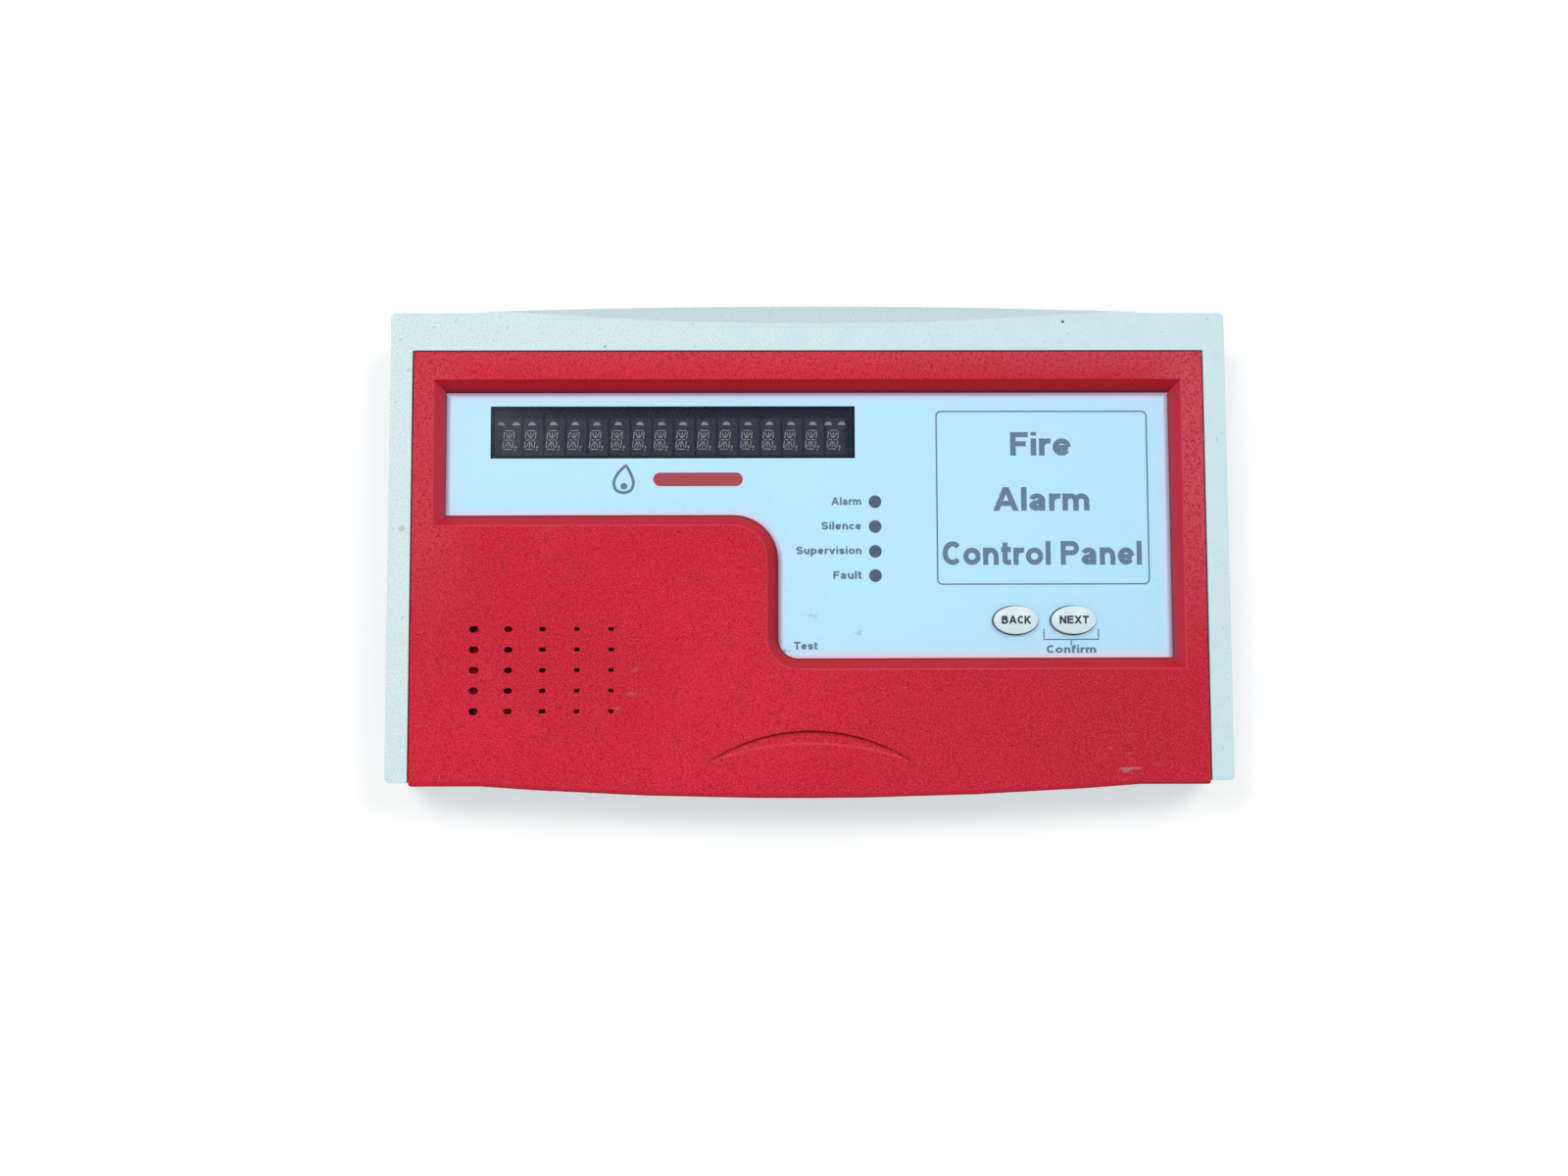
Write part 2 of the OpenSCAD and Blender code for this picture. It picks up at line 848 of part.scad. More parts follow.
function ring(at, along, r, sides) =
    let (
        u = unit(cross(along, [0, 1, 0])),
        v = cross(along, u)
    )
    [for (k = [0 : sides - 1]) at + r * (cos(360 * k / sides) * u + sin(360 * k / sides) * v)];

// Round lead swept along a route
module tube(route, r, sides = 8) {
    path = curve(route, 4);
    last = len(path) - 1;
    points = [
        for (i = [0 : last])
            let (along = unit(path[min(i + 1, last)] - path[max(i - 1, 0)]))
            each ring(path[i], along, r, sides)
    ];
    walls = [
        for (i = [0 : last - 1], k = [0 : sides - 1])
            let (next = (k + 1) % sides)
            [i * sides + k, (i + 1) * sides + k, (i + 1) * sides + next, i * sides + next]
    ];
    first_cap = [for (k = [0 : sides - 1]) k];
    last_cap = [for (k = [sides - 1 : -1 : 0]) last * sides + k];
    polyhedron(points, concat(walls, [first_cap, last_cap]), convexity = 4);
}

module speaker_lead_red() {
    color([0.75, 0.15, 0.12]) upright()
        tube(red_route, lead_r);
}

module speaker_lead_black() {
    color(BLACK) upright()
        tube(black_route, lead_r);
}

module speaker_plug() {
    color([0.90, 0.90, 0.86]) upright()
        block([-27.2, -20], [-25, -18.4], [8, board_back]);
}

// Chip: a body on the back of the board with a row of feet on two opposite sides
module chip(pos, size, feet, pitch) {
    translate([pos[0], pos[1], 0]) {
        block(span(0, size[0] / 2), span(0, size[1] / 2), shift([-size[2], -0.2], board_back));
        for (i = [0 : feet - 1])
            translate([(i - (feet - 1) / 2) * pitch, 0, 0])
                block(span(0, 0.25), span(0, size[1] / 2 + 1.1), shift([-0.8, 0], board_back));
    }
}

module microcontroller() {
    color(BLACK) upright()
        chip(micro_pos, [18, 18, 2.6], 14, 1.2);
}

module driver_chips() {
    color(BLACK) upright()
        for (pos = driver_pos)
            chip(pos, [24, 9, 3.2], 14, 1.6);
}

module electrolytic_caps() {
    color([0.12, 0.16, 0.28]) upright()
        for (pos = cap_pos)
            difference() {
                post(pos, [cap_back, board_back], 4);
                for (turn = [0, 90])
                    translate([pos[0], pos[1], cap_back])
                        rotate(turn)
                            cube([5, 0.4, 0.4], center = true);
            }
}

module smd_parts() {
    color([0.55, 0.45, 0.35]) upright()
        for (i = [0 : 5], j = [0 : 2])
            block(span(-84 + 12 * i, 1), span(2 + 5.5 * j, 0.6), shift([-0.7, 0], board_back));
}

module inverter_coil() {
    color([0.60, 0.32, 0.14]) upright() {
        block(span(coil_pos[0], 6.5), span(coil_pos[1], 6), shift([-2, 0], board_back));
        post(coil_pos, [coil_back, board_back], 4.6);
        post(coil_pos, [coil_back, coil_back + 1.2], 6);
    }
}

module crystal() {
    color(STEEL) upright()
        translate([crystal_pos[0], crystal_pos[1], board_back - 3.5])
            linear_extrude(3.5)
                rounded(11, 4.6, 2.29);
}

// Address switch: six sliders in a row, each in its own slot
module address_switch() {
    color([0.70, 0.14, 0.14]) upright()
        difference() {
            block(
                span(address_pos[0], address_size[0] / 2),
                span(address_pos[1], address_size[1] / 2),
                [address_back, board_back]
            );
            for (i = [1 : 6])
                translate([address_pos[0], slider_y(i), 0])
                    block([-1.95, 1.95], [-0.8, 0.8], [address_back - OVER, address_back + 1.6]);
        }
}

function slider_y(i) = address_pos[1] + (3.5 - i) * slider_pitch;

module address_slider(i) {
    color([0.93, 0.93, 0.90]) upright()
        translate([address_pos[0] - slider_travel / 2, slider_y(i), 0])
            block(span(0, 0.65), span(0, 0.65), shift([-0.8, 1.4], address_back));
}

module address_slider_1() { address_slider(1); }
module address_slider_2() { address_slider(2); }
module address_slider_3() { address_slider(3); }
module address_slider_4() { address_slider(4); }
module address_slider_5() { address_slider(5); }
module address_slider_6() { address_slider(6); }

// Four-way header on the board, and the screw terminal plug that the field cable joins
module data_header() {
    color([0.15, 0.42, 0.25]) upright()
        block(header_x, header_y, [3.9, board_back]);
}

function way_x(i) = (header_x[0] + header_x[1]) / 2 + (i - 1.5) * way_pitch;

module terminal_plug() {
    color([0.18, 0.50, 0.30]) upright()
        difference() {
            block(header_x, [plug_y, header_y[0]], [4.4, board_back - 0.5]);
            for (i = [0 : 3]) {
                translate([way_x(i), plug_y + 4, 3])
                    cylinder(h = 3, r = 1.9);
                translate([way_x(i), 0, 0])
                    block([-1.6, 1.6], [plug_y - OVER, plug_y + 5], [8, 11.2]);
            }
        }
}

module terminal_screws() {
    color(STEEL) upright()
        for (i = [0 : 3])
            difference() {
                post([way_x(i), plug_y + 4], [4.9, 6], 1.8);
                translate([way_x(i), plug_y + 4, 4.9])
                    cube([3.2, 0.5, 0.8], center = true);
            }
}

// Switch that reports when the front is opened
module tamper_switch() {
    color(BLACK) upright()
        difference() {
            block([-6, 6], span(tamper_pos[1], 3), [tamper_back, board_back]);
            post(tamper_pos, [tamper_back - OVER, 10], 1.1);
        }
}

module tamper_plunger() {
    color([0.80, 0.25, 0.15]) upright()
        post(tamper_pos, [tamper_tip, 9.6], 1);
}

module board_screws() {
    color(STEEL) upright()
        for (pos = board_posts)
            screw(pos, [board_back - 1.8, 18.5], 2.6, 1.8, 1.2 - THREAD_GAP);
}

module faceplate_screws() {
    color(STEEL) upright()
        for (pos = face_posts)
            screw(pos, [ear_back - 2, 23.6], 2.8, 2, 1.2 - THREAD_GAP);
}

wall_base();
base_label();
front_housing();
red_faceplate();
label_overlay();
status_lenses();
display_lens();
vfd_front_glass();
vfd_frame();
vfd_substrate();
vfd_grids();
vfd_leads();
vfd_cushions();
main_board();
led_fire();
led_silenced();
led_supervisory();
led_trouble();
led_block();
prev_key();
next_key();
prev_switch();
next_switch();
prev_plunger();
next_plunger();
speaker_basket();
speaker_cone();
speaker_magnet();
speaker_gasket();
speaker_strap();
strap_screws();
speaker_lead_red();
speaker_lead_black();
speaker_plug();
microcontroller();
driver_chips();
electrolytic_caps();
smd_parts();
inverter_coil();
crystal();
address_switch();
address_slider_1();
address_slider_2();
address_slider_3();
address_slider_4();
address_slider_5();
address_slider_6();
data_header();
terminal_plug();
terminal_screws();
tamper_switch();
tamper_plunger();
board_screws();
faceplate_screws();
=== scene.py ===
"""Looks of a wall-mounted fire alarm annunciator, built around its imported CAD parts.

The frame is the CAD model's, in metres: +X is right, +Z is up, the front faces -Y and the wall is
the plane y = 0. Flat work is drawn in millimetres, as x across, z up, and depth out from the wall.
"""

import math

import bmesh
import bpy
from mathutils import Matrix, Vector
from mathutils.geometry import delaunay_2d_cdt


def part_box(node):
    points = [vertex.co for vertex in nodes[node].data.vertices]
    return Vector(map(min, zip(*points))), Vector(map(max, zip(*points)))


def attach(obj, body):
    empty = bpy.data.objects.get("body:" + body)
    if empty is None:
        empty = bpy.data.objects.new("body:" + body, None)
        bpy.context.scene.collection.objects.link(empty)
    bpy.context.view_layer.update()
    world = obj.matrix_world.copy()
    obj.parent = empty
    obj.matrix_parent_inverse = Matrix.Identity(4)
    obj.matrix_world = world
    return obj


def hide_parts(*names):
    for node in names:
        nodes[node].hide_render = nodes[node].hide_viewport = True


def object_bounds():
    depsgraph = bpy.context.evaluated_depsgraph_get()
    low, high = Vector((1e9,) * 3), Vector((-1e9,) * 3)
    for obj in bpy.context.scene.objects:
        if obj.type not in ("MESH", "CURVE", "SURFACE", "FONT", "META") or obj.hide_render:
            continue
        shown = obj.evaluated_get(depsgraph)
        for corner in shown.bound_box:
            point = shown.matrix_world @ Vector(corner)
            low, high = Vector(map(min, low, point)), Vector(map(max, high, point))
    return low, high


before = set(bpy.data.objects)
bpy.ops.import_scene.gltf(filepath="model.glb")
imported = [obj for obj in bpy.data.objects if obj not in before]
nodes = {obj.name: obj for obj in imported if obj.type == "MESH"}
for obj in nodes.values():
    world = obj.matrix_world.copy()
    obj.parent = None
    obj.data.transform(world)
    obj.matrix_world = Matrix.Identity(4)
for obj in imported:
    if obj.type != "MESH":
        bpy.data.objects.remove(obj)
cad_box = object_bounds()

MM = 0.001


def extent(node):
    """A CAD node's box in millimetres: (x range), (z range), (depth range)."""
    low, high = (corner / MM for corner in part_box(node))
    return (low.x, high.x), (low.z, high.z), (-high.y, -low.y)


def middle(span):
    return (span[0] + span[1]) / 2


def centre_of(node):
    """The middle of a CAD node's box, across and up, in millimetres."""
    x_span, z_span, _ = extent(node)
    return middle(x_span), middle(z_span)


# ---------------------------------------------------------------- materials


class Finish:
    """One procedural material: a Principled shader and the nodes that feed it."""

    def __init__(self, name, roughness=0.5, **values):
        self.material = bpy.data.materials.new(name)
        self.material.use_nodes = True
        self.tree = self.material.node_tree
        self.shader = self.tree.nodes["Principled BSDF"]
        self.place = self.node("ShaderNodeTexCoord").outputs["Object"]
        self.facing = self.node("ShaderNodeTexCoord").outputs["Normal"]
        self.put("Roughness", roughness)
        for socket, value in values.items():
            self.put(socket.replace("_", " "), value)

    def node(self, kind, inputs=None, **settings):
        made = self.tree.nodes.new(kind)
        for key, value in settings.items():
            setattr(made, key, value)
        for key, value in (inputs or {}).items():
            self.feed(made.inputs[key], value)
        return made

    def feed(self, socket, value):
        if isinstance(value, bpy.types.NodeSocket):
            self.tree.links.new(value, socket)
        else:
            socket.default_value = value

    def put(self, socket, value):
        self.feed(self.shader.inputs[socket], value)

    def noise(self, size, detail, stretch=(1, 1, 1), shift=0.0):
        """Noise with features of about size millimetres, from 0 to 1 round 0.5."""
        spread = {"Vector": self.place, "Location": (shift, shift, shift), "Scale": stretch}
        place = self.node("ShaderNodeMapping", spread).outputs[0]
        inputs = {"Vector": place, "Scale": 1 / (size * MM), "Detail": detail}
        return self.node("ShaderNodeTexNoise", inputs).outputs["Fac"]

    def steps(self, value, low, high):
        """0 below low, 1 above high and smooth between."""
        inputs = {"Value": value, "From Min": low, "From Max": high}
        made = self.node("ShaderNodeMapRange", inputs, interpolation_type="SMOOTHSTEP")
        return made.outputs["Result"]

    def scaled(self, value, low, high):
        """The value's range 0 to 1 taken to low to high."""
        inputs = {"Value": value, "To Min": low, "To Max": high}
        return self.node("ShaderNodeMapRange", inputs).outputs["Result"]

    def math(self, operation, a, b=0.0):
        return self.node("ShaderNodeMath", {0: a, 1: b}, operation=operation).outputs[0]

    def times(self, a, b):
        return self.math("MULTIPLY", a, b)

    def plus(self, a, b):
        return self.math("ADD", a, b)

    def minus(self, a, b):
        return self.math("SUBTRACT", a, b)

    def most(self, a, b):
        return self.math("MAXIMUM", a, b)

    def size(self, a):
        return self.math("ABSOLUTE", a)

    def length(self, a, b):
        """The long side of a right-angled triangle with these two sides."""
        return self.math("SQRT", self.plus(self.times(a, a), self.times(b, b)))

    def mix(self, share, a, b):
        made = self.node("ShaderNodeMix", data_type="RGBA")
        self.feed(made.inputs["Factor"], share)
        self.feed(made.inputs[6], colour(a))
        self.feed(made.inputs[7], colour(b))
        return made.outputs[2]

    def bump(self, height, depth):
        """Relief of depth millimetres from a height of 0 to 1, laid over any relief put before."""
        earlier = self.shader.inputs["Normal"].links
        inputs = {"Height": height, "Distance": depth * MM, "Strength": 1.0}
        if earlier:
            inputs["Normal"] = earlier[0].from_socket
        self.put("Normal", self.node("ShaderNodeBump", inputs).outputs["Normal"])

    def axis(self, name, source=None):
        """One coordinate of the place, or of another vector."""
        return self.node("ShaderNodeSeparateXYZ", {0: source or self.place}).outputs[name]

    def mm(self, name):
        """The place along an axis in millimetres."""
        return self.times(self.axis(name), 1 / MM)

    def wave(self, scale, direction, distortion):
        inputs = {"Vector": self.place, "Scale": scale, "Distortion": distortion}
        return self.node("ShaderNodeTexWave", inputs, bands_direction=direction).outputs["Fac"]

    def flatness(self, low, high):
        """1 where the surface faces the front or the wall squarely, 0 where it is tilted."""
        return self.steps(self.size(self.axis("Y", self.facing)), low, high)

    def specks(self, size, share, shift=0.0):
        """Scattered spots of about size millimetres that cover a small share of the surface."""
        return self.steps(self.noise(size, 1.0, shift=shift), 0.74 - share, 0.76 - share)

    def spot(self, x, z, depth, reach, softness):
        """1 at a place so far out from the wall, fading to 0 at reach millimetres from it."""
        inputs = {0: self.place, 1: (x * MM, -depth * MM, z * MM)}
        made = self.node("ShaderNodeVectorMath", inputs, operation="DISTANCE")
        return self.steps(made.outputs["Value"], reach * MM, reach * (1 - softness) * MM)

    def marks(self, node, places):
        """Spots on a CAD node's front, each (x, z, reach, softness, strength)."""
        _, _, (_, front) = extent(node)
        cover = 0.0
        for x, z, reach, softness, strength in places:
            faint = self.times(self.spot(x, z, front, reach, softness), strength)
            cover = self.most(cover, faint)
        return cover

    def circle_line(self, z_centre, radius, reach):
        """1 along a circle about (0, z_centre), fading to 0 by reach millimetres to either side."""
        from_centre = self.length(self.mm("X"), self.minus(self.mm("Z"), z_centre))
        return self.steps(self.size(self.minus(from_centre, radius)), reach, 0.0)

    def done(self, base, roughness, height=None, relief=0.0):
        """Puts the colour, the roughness unless it is None, and a relief of so many millimetres."""
        self.put("Base Color", base)
        if roughness is not None:
            self.put("Roughness", roughness)
        if height is not None:
            self.bump(height, relief)
        return self.material


def colour(value):
    """A colour from a grey level or three numbers; sockets pass through."""
    if isinstance(value, bpy.types.NodeSocket):
        return value
    if isinstance(value, (int, float)):
        value = (value, value, value)
    return (*value[:3], 1.0)


def tint(value, share):
    return tuple(channel * share for channel in value)


def plastic(name, base, grain, relief, roughness, drift, dust=0.0, **values):
    """Moulded plastic: fine grain in colour and relief, a slow drift in tone, and a little dust."""
    look = Finish(name, **values)
    fine = look.noise(grain, 2.0)
    slow = look.noise(28, 3.0, shift=0.3)
    toned = look.mix(slow, tint(base, 1 - drift), tint(base, 1 + drift))
    grained = look.mix(look.steps(fine, 0.35, 0.75), tint(base, 1 - drift), toned)
    if dust:
        cover = look.times(look.noise(6, 5.0, shift=0.7), dust)
        grained = look.mix(cover, grained, (0.5, 0.48, 0.45))
    rough = look.scaled(slow, roughness - 0.06, roughness + 0.08)
    return look.done(grained, rough, fine, relief)


def metal(name, base, roughness, brushed=(1, 1, 1), stain=0.12):
    """Metal with brushing along one axis and faint stains."""
    look = Finish(name, Metallic=1.0)
    lines = look.noise(0.5, 4.0, stretch=brushed)
    stains = look.noise(3.0, 4.0, shift=0.4)
    stained = look.mix(stains, tint(base, 1 - stain), base)
    rough = look.scaled(lines, roughness - 0.1, roughness + 0.15)
    return look.done(stained, rough, lines, 0.004)


def red_plastic():
    """Spark-eroded red plastic: painted highlights as pale glints on its flat faces; smooth on its
    bevels, with painted shade that darkens them.
    """
    look = Finish("red_plastic", Specular_IOR_Level=0.14)
    fine = look.noise(0.36, 2.0)
    finer = look.noise(0.26, 1.5, shift=0.2)
    slow = look.noise(45, 3.0, shift=0.6)
    toned = look.mix(look.steps(slow, 0.3, 0.7), (0.545, 0.004, 0.022), (0.60, 0.009, 0.032))
    rightward = look.steps(look.axis("X"), -0.01, 0.08)
    toned = look.mix(rightward, toned, (0.475, 0.006, 0.028))
    # Painted sheen over the upper flanges
    toned = look.mix(haze(look), toned, (0.62, 0.16, 0.22))
    grained = look.mix(look.steps(fine, 0.52, 0.34), toned, (0.34, 0.003, 0.014))
    # Painted highlights: pale glints scattered over the grain
    glints = look.times(look.steps(finer, 0.52, 0.70), 0.9)
    glinted = look.mix(glints, grained, (0.80, 0.075, 0.11))
    scuffs = look.steps(look.noise(1.6, 5.0, stretch=(0.25, 1, 1), shift=0.9), 0.58, 0.72)
    # Rubbed at the lower right edge, by the sound holes and by the label
    rubbed = (
        (77, -54, 9, 0.6, 1.0),
        (-45, -33, 6, 0.6, 0.6),
        (-61, 6.3, 5, 0.6, 0.6),
        (-50, -38, 5, 0.6, 0.6),
    )
    scuffed = look.times(scuffs, look.marks("red_faceplate", rubbed))
    face = look.mix(scuffed, glinted, (0.44, 0.14, 0.18))
    # The thumb notch's floor runs out along a pale arc, a painted highlight, and its wall stands
    # along a dark arc, painted shade
    face = look.mix(notch_line(look, -119.4, 70.9, 0.3), face, (0.78, 0.07, 0.10))
    # The bevels run from the face down to the label, with painted shade that darkens them on the
    # way and more on faces turned down; faces turned up get painted light
    depth = look.times(look.mm("Y"), -1.0)
    upward = look.axis("Z", look.facing)
    under = look.steps(upward, -0.4, 0.1)
    over = look.steps(upward, 0.1, 0.6)
    outer = look.steps(look.size(look.axis("X")), 0.06, 0.085)
    foot = look.mix(outer, (0.25, 0.024, 0.040), (0.34, 0.060, 0.090))
    foot = look.mix(under, (0.11, 0.012, 0.022), foot)
    foot = look.mix(over, foot, (0.34, 0.036, 0.044))
    brow = look.mix(outer, (0.43, 0.014, 0.032), (0.51, 0.026, 0.052))
    brow = look.mix(under, (0.40, 0.006, 0.016), brow)
    brow = look.mix(over, brow, (0.53, 0.016, 0.030))
    bevel = look.mix(look.steps(depth, 21.8, 23.8), foot, brow)
    # Painted highlight along the crest of the bevels
    pale = look.times(crest(look, depth), under)
    bevel = look.mix(pale, bevel, (0.80, 0.085, 0.12))
    flat = look.flatness(0.80, 0.97)
    red = look.mix(flat, bevel, face)
    # Painted shade along the curved lower edge, which faces down
    red = look.mix(look.times(lower_rim(look), 0.75), red, (0.30, 0.010, 0.022))
    # Painted shade along the wall of the thumb notch
    red = look.mix(notch_line(look, -90.1, 44.6, 0.6), red, (0.16, 0.004, 0.010))
    red = look.mix(window_surround(look), red, (0.012, 0.013, 0.016))
    rough = look.mix(flat, 0.36, look.scaled(fine, 0.46, 0.66))
    return look.done(red, rough, look.times(fine, flat), 0.03)


def crest(look, depth):
    """The painted highlight line where a bevel around the label meets the plate's face."""
    _, _, (_, front) = extent("red_faceplate")
    x, z = look.mm("X"), look.mm("Z")
    line = look.times(look.steps(depth, front - 0.4, front - 0.1), 0.5)
    within = look.steps(look.size(x), 94.5, 94)
    raised = look.times(look.steps(z, -33.5, -33), within)
    clear_of_holes = look.most(look.steps(x, -13.5, -13), look.steps(z, 2.5, 3))
    return look.times(line, look.times(raised, clear_of_holes))


def haze(look):
    """Painted sheen: a pale pink veil of light over the upper flange and the upper half of the side
    flanges, stronger to the right.
    """
    x, z = look.mm("X"), look.mm("Z")
    sides = look.steps(look.size(x), 78, 94)
    upper = look.times(look.most(sides, look.steps(z, 40, 50)), look.steps(z, -34, 16))
    return look.times(upper, look.scaled(look.steps(x, -20, 100), 0.17, 0.34))


def notch_line(look, z_centre, radius, strength):
    """A painted line along one of the thumb notch's two edges, both arcs about points below the
    plate: highlight on the floor's edge, shade on the wall's.
    """
    above_rim = look.steps(look.mm("Z"), -54.5, -52.5)
    line = look.times(look.circle_line(z_centre, radius, 0.5), above_rim)
    front = look.steps(look.mm("Y"), -22.0, -22.5)
    return look.times(line, look.scaled(front, 0.0, strength))


def lower_rim(look):
    """1 along the curved lower edge of the faceplate, fading to 0 about 2 mm above it, where
    painted shade lies.
    """
    _, (lowest, _), _ = extent("red_faceplate")
    chord, bulge = 80.0, 3.1
    radius = (chord**2 + bulge**2) / (2 * bulge)
    straight = look.minus(look.mm("Z"), lowest + bulge)
    above = look.minus(look.mm("Z"), lowest + radius)
    curved = look.minus(radius, look.length(look.mm("X"), above))
    return look.steps(look.most(straight, curved), 1.5, 0.1)


def window_surround(look):
    """1 round the display window, where the panel behind the lens is printed black."""
    beyond = 0.0
    for axis, (low, high) in zip("XZ", extent("display_lens")):
        off = look.size(look.minus(look.mm(axis), middle((low, high))))
        beyond = look.most(beyond, look.minus(off, (high - low) / 2))
    return look.steps(beyond, 1.2, 0.9)


def off_white_plastic():
    """Off-white plastic with a fine grain, faintly grey-green mottling, painted shade on its tilted
    faces and a few dark specks.
    """
    look = Finish("off_white_plastic", Specular_IOR_Level=0.4)
    fine = look.noise(0.5, 2.0)
    blotch = look.noise(5.0, 4.0, shift=0.5)
    warm = look.mix(look.steps(blotch, 0.35, 0.65), (0.60, 0.77, 0.80), (0.65, 0.80, 0.83))
    cool = look.mix(look.steps(blotch, 0.35, 0.65), (0.52, 0.71, 0.77), (0.57, 0.75, 0.80))
    base = look.mix(look.steps(look.axis("X"), -0.09, 0.11), warm, cool)
    # Painted shade: faces that don't face the front or the wall squarely are greyer
    base = look.mix(look.flatness(0.93, 0.78), base, (0.50, 0.64, 0.66))
    grained = look.mix(look.steps(fine, 0.60, 0.36), base, (0.54, 0.69, 0.73))
    dirt = look.times(look.specks(1.4, 0.0, shift=0.8), 0.35)
    dirty = look.mix(dirt, grained, (0.30, 0.34, 0.37))
    chips = look.marks(
        "front_housing",
        ((63, 55.5, 0.45, 0.3, 1.0), (-99.6, 4.2, 1.3, 1.0, 0.4), (-50.3, 49.3, 0.5, 1.0, 0.8)),
    )
    chipped = look.mix(chips, dirty, (0.10, 0.13, 0.19))
    return look.done(chipped, look.scaled(blotch, 0.42, 0.56), fine, 0.014)


def printed_label():
    """Satin printed film: pale blue, with a painted lavender shade towards its rim, and faint
    smudges.
    """
    (left, right), (bottom, top), _ = extent("label_overlay")
    step_x, step_z, step_radius = -18.8, -3.8, 11.1
    look = Finish("printed_label", Specular_IOR_Level=0.45, Coat_Weight=0.12, Coat_Roughness=0.35)
    x, z = look.mm("X"), look.mm("Z")
    # How far from the rounded step in the outline, and how much that step lies to the side
    beyond_x = look.most(look.minus(x, step_x), 0.0)
    beyond_z = look.most(look.minus(z, step_z), 0.0)
    from_step = look.minus(look.length(beyond_x, beyond_z), step_radius)
    either = look.plus(look.plus(beyond_x, beyond_z), 0.01)
    beside = look.math("DIVIDE", beyond_x, either)
    walls = (look.minus(right, x), look.minus(top, z), look.minus(x, left))
    from_foot = look.minus(z, bottom)
    inset = from_step
    for edge in (*walls, from_foot):
        inset = look.math("MINIMUM", inset, edge)
    slow = look.noise(30, 2.0, shift=0.1)
    fine = look.noise(0.45, 2.0)
    sheet = look.mix(slow, (0.425, 0.735, 0.93), (0.465, 0.78, 0.955))
    sheet = look.mix(look.steps(look.axis("X"), -0.01, 0.10), sheet, (0.40, 0.695, 0.91))
    sheet = look.mix(look.steps(fine, 0.55, 0.30), sheet, (0.43, 0.73, 0.90))
    # Painted shade: lavender within about 3 mm of the rim
    sheet = look.mix(look.times(look.steps(inset, 3.2, 0.0), 0.75), sheet, (0.62, 0.66, 0.90))
    # Red light comes back from the bevels below the sheet, shade lies along the others
    over_step = look.times(look.steps(from_step, 0.9, 0.1), look.minus(1.0, beside))
    blush = look.most(over_step, look.steps(from_foot, 0.9, 0.1))
    sheet = look.mix(blush, sheet, (0.84, 0.50, 0.64))
    shade = look.times(look.steps(from_step, 1.5, 0.0), beside)
    for edge in walls:
        shade = look.most(shade, look.steps(edge, 1.5, 0.0))
    sheet = look.mix(look.times(shade, 0.9), sheet, (0.20, 0.14, 0.24))
    grime = look.steps(look.noise(1.1, 5.0, shift=0.35), 0.50, 0.66)
    smudged = look.marks(
        "label_overlay",
        ((-5.4, -26.4, 2.4, 0.6, 1.0), (0.5, -17.2, 2.2, 1.0, 0.5), (12.0, -21.4, 2.2, 1.0, 0.5)),
    )
    sheet = look.mix(look.times(grime, smudged), sheet, (0.20, 0.22, 0.32))
    return look.done(sheet, look.scaled(slow, 0.38, 0.48), fine, 0.006)


def ink(name, base):
    """Screen-printed ink, a little uneven in cover."""
    look = Finish(name, Specular_IOR_Level=0.3)
    cover = look.noise(0.35, 2.0)
    uneven = look.mix(look.steps(cover, 0.3, 0.7), tint(base, 0.9), tint(base, 1.12))
    return look.done(uneven, look.scaled(cover, 0.45, 0.6))


def see_through(name, base, alpha, roughness, cloud=0.04):
    """Clear or smoked sheet: colour and cover vary slightly with haze and dust."""
    look = Finish(name, Specular_IOR_Level=0.5)
    clouds = look.noise(7, 4.0)
    dust = look.specks(0.5, 0.03)
    clouded = look.mix(clouds, tint(base, 1 - cloud), tint(base, 1 + cloud))
    dusty = look.mix(look.times(dust, 0.10), clouded, (0.5, 0.55, 0.6))
    look.put("Alpha", look.scaled(clouds, alpha - cloud / 2, alpha + cloud / 2))
    return look.done(dusty, look.scaled(clouds, roughness, roughness + 0.08))


def laminate():
    """Circuit board: green solder mask over woven glass, buff at the cut edge."""
    look = Finish("board_laminate", Specular_IOR_Level=0.5, Coat_Weight=0.3, Coat_Roughness=0.15)
    cloth = look.times(look.wave(900.0, "Z", 1.5), look.wave(900.0, "X", 1.5))
    mask = look.mix(cloth, (0.012, 0.115, 0.055), (0.020, 0.150, 0.075))
    pour = look.steps(look.noise(16, 0.0), 0.49, 0.51)
    mask = look.mix(look.times(pour, 0.5), mask, (0.030, 0.190, 0.090))
    board = look.mix(look.flatness(0.3, 0.7), (0.42, 0.36, 0.20), mask)
    return look.done(board, look.scaled(cloth, 0.32, 0.42), cloth, 0.006)


def foam():
    """Open-cell foam, matt and pitted: black behind the display; round the speaker it is maroon, a
    painted reflection of red light from the plate.
    """
    look = Finish("foam", roughness=0.95, Specular_IOR_Level=0.15)
    texture = look.node("ShaderNodeTexVoronoi", {"Vector": look.place, "Scale": 2600.0})
    cells = texture.outputs["Distance"]
    black = look.mix(cells, 0.012, 0.075)
    # Painted reflection: red light from the plate, as maroon foam round the speaker
    maroon = look.mix(cells, (0.12, 0.003, 0.007), (0.50, 0.012, 0.030))
    either = look.mix(look.steps(look.mm("Z"), 0.0, -5.0), black, maroon)
    return look.done(either, None, cells, 0.12)


def paper_cone():
    """Pressed paper with short fibres, maroon as a painted reflection of red light from the plate.
    """
    look = Finish("paper_cone", roughness=0.9)
    fibres = look.noise(0.6, 6.0, stretch=(1, 1, 0.3))
    # Painted reflection: the maroon of red light from the plate
    paper = look.mix(fibres, (0.44, 0.010, 0.022), (0.62, 0.018, 0.036))
    return look.done(paper, None, fibres, 0.06)


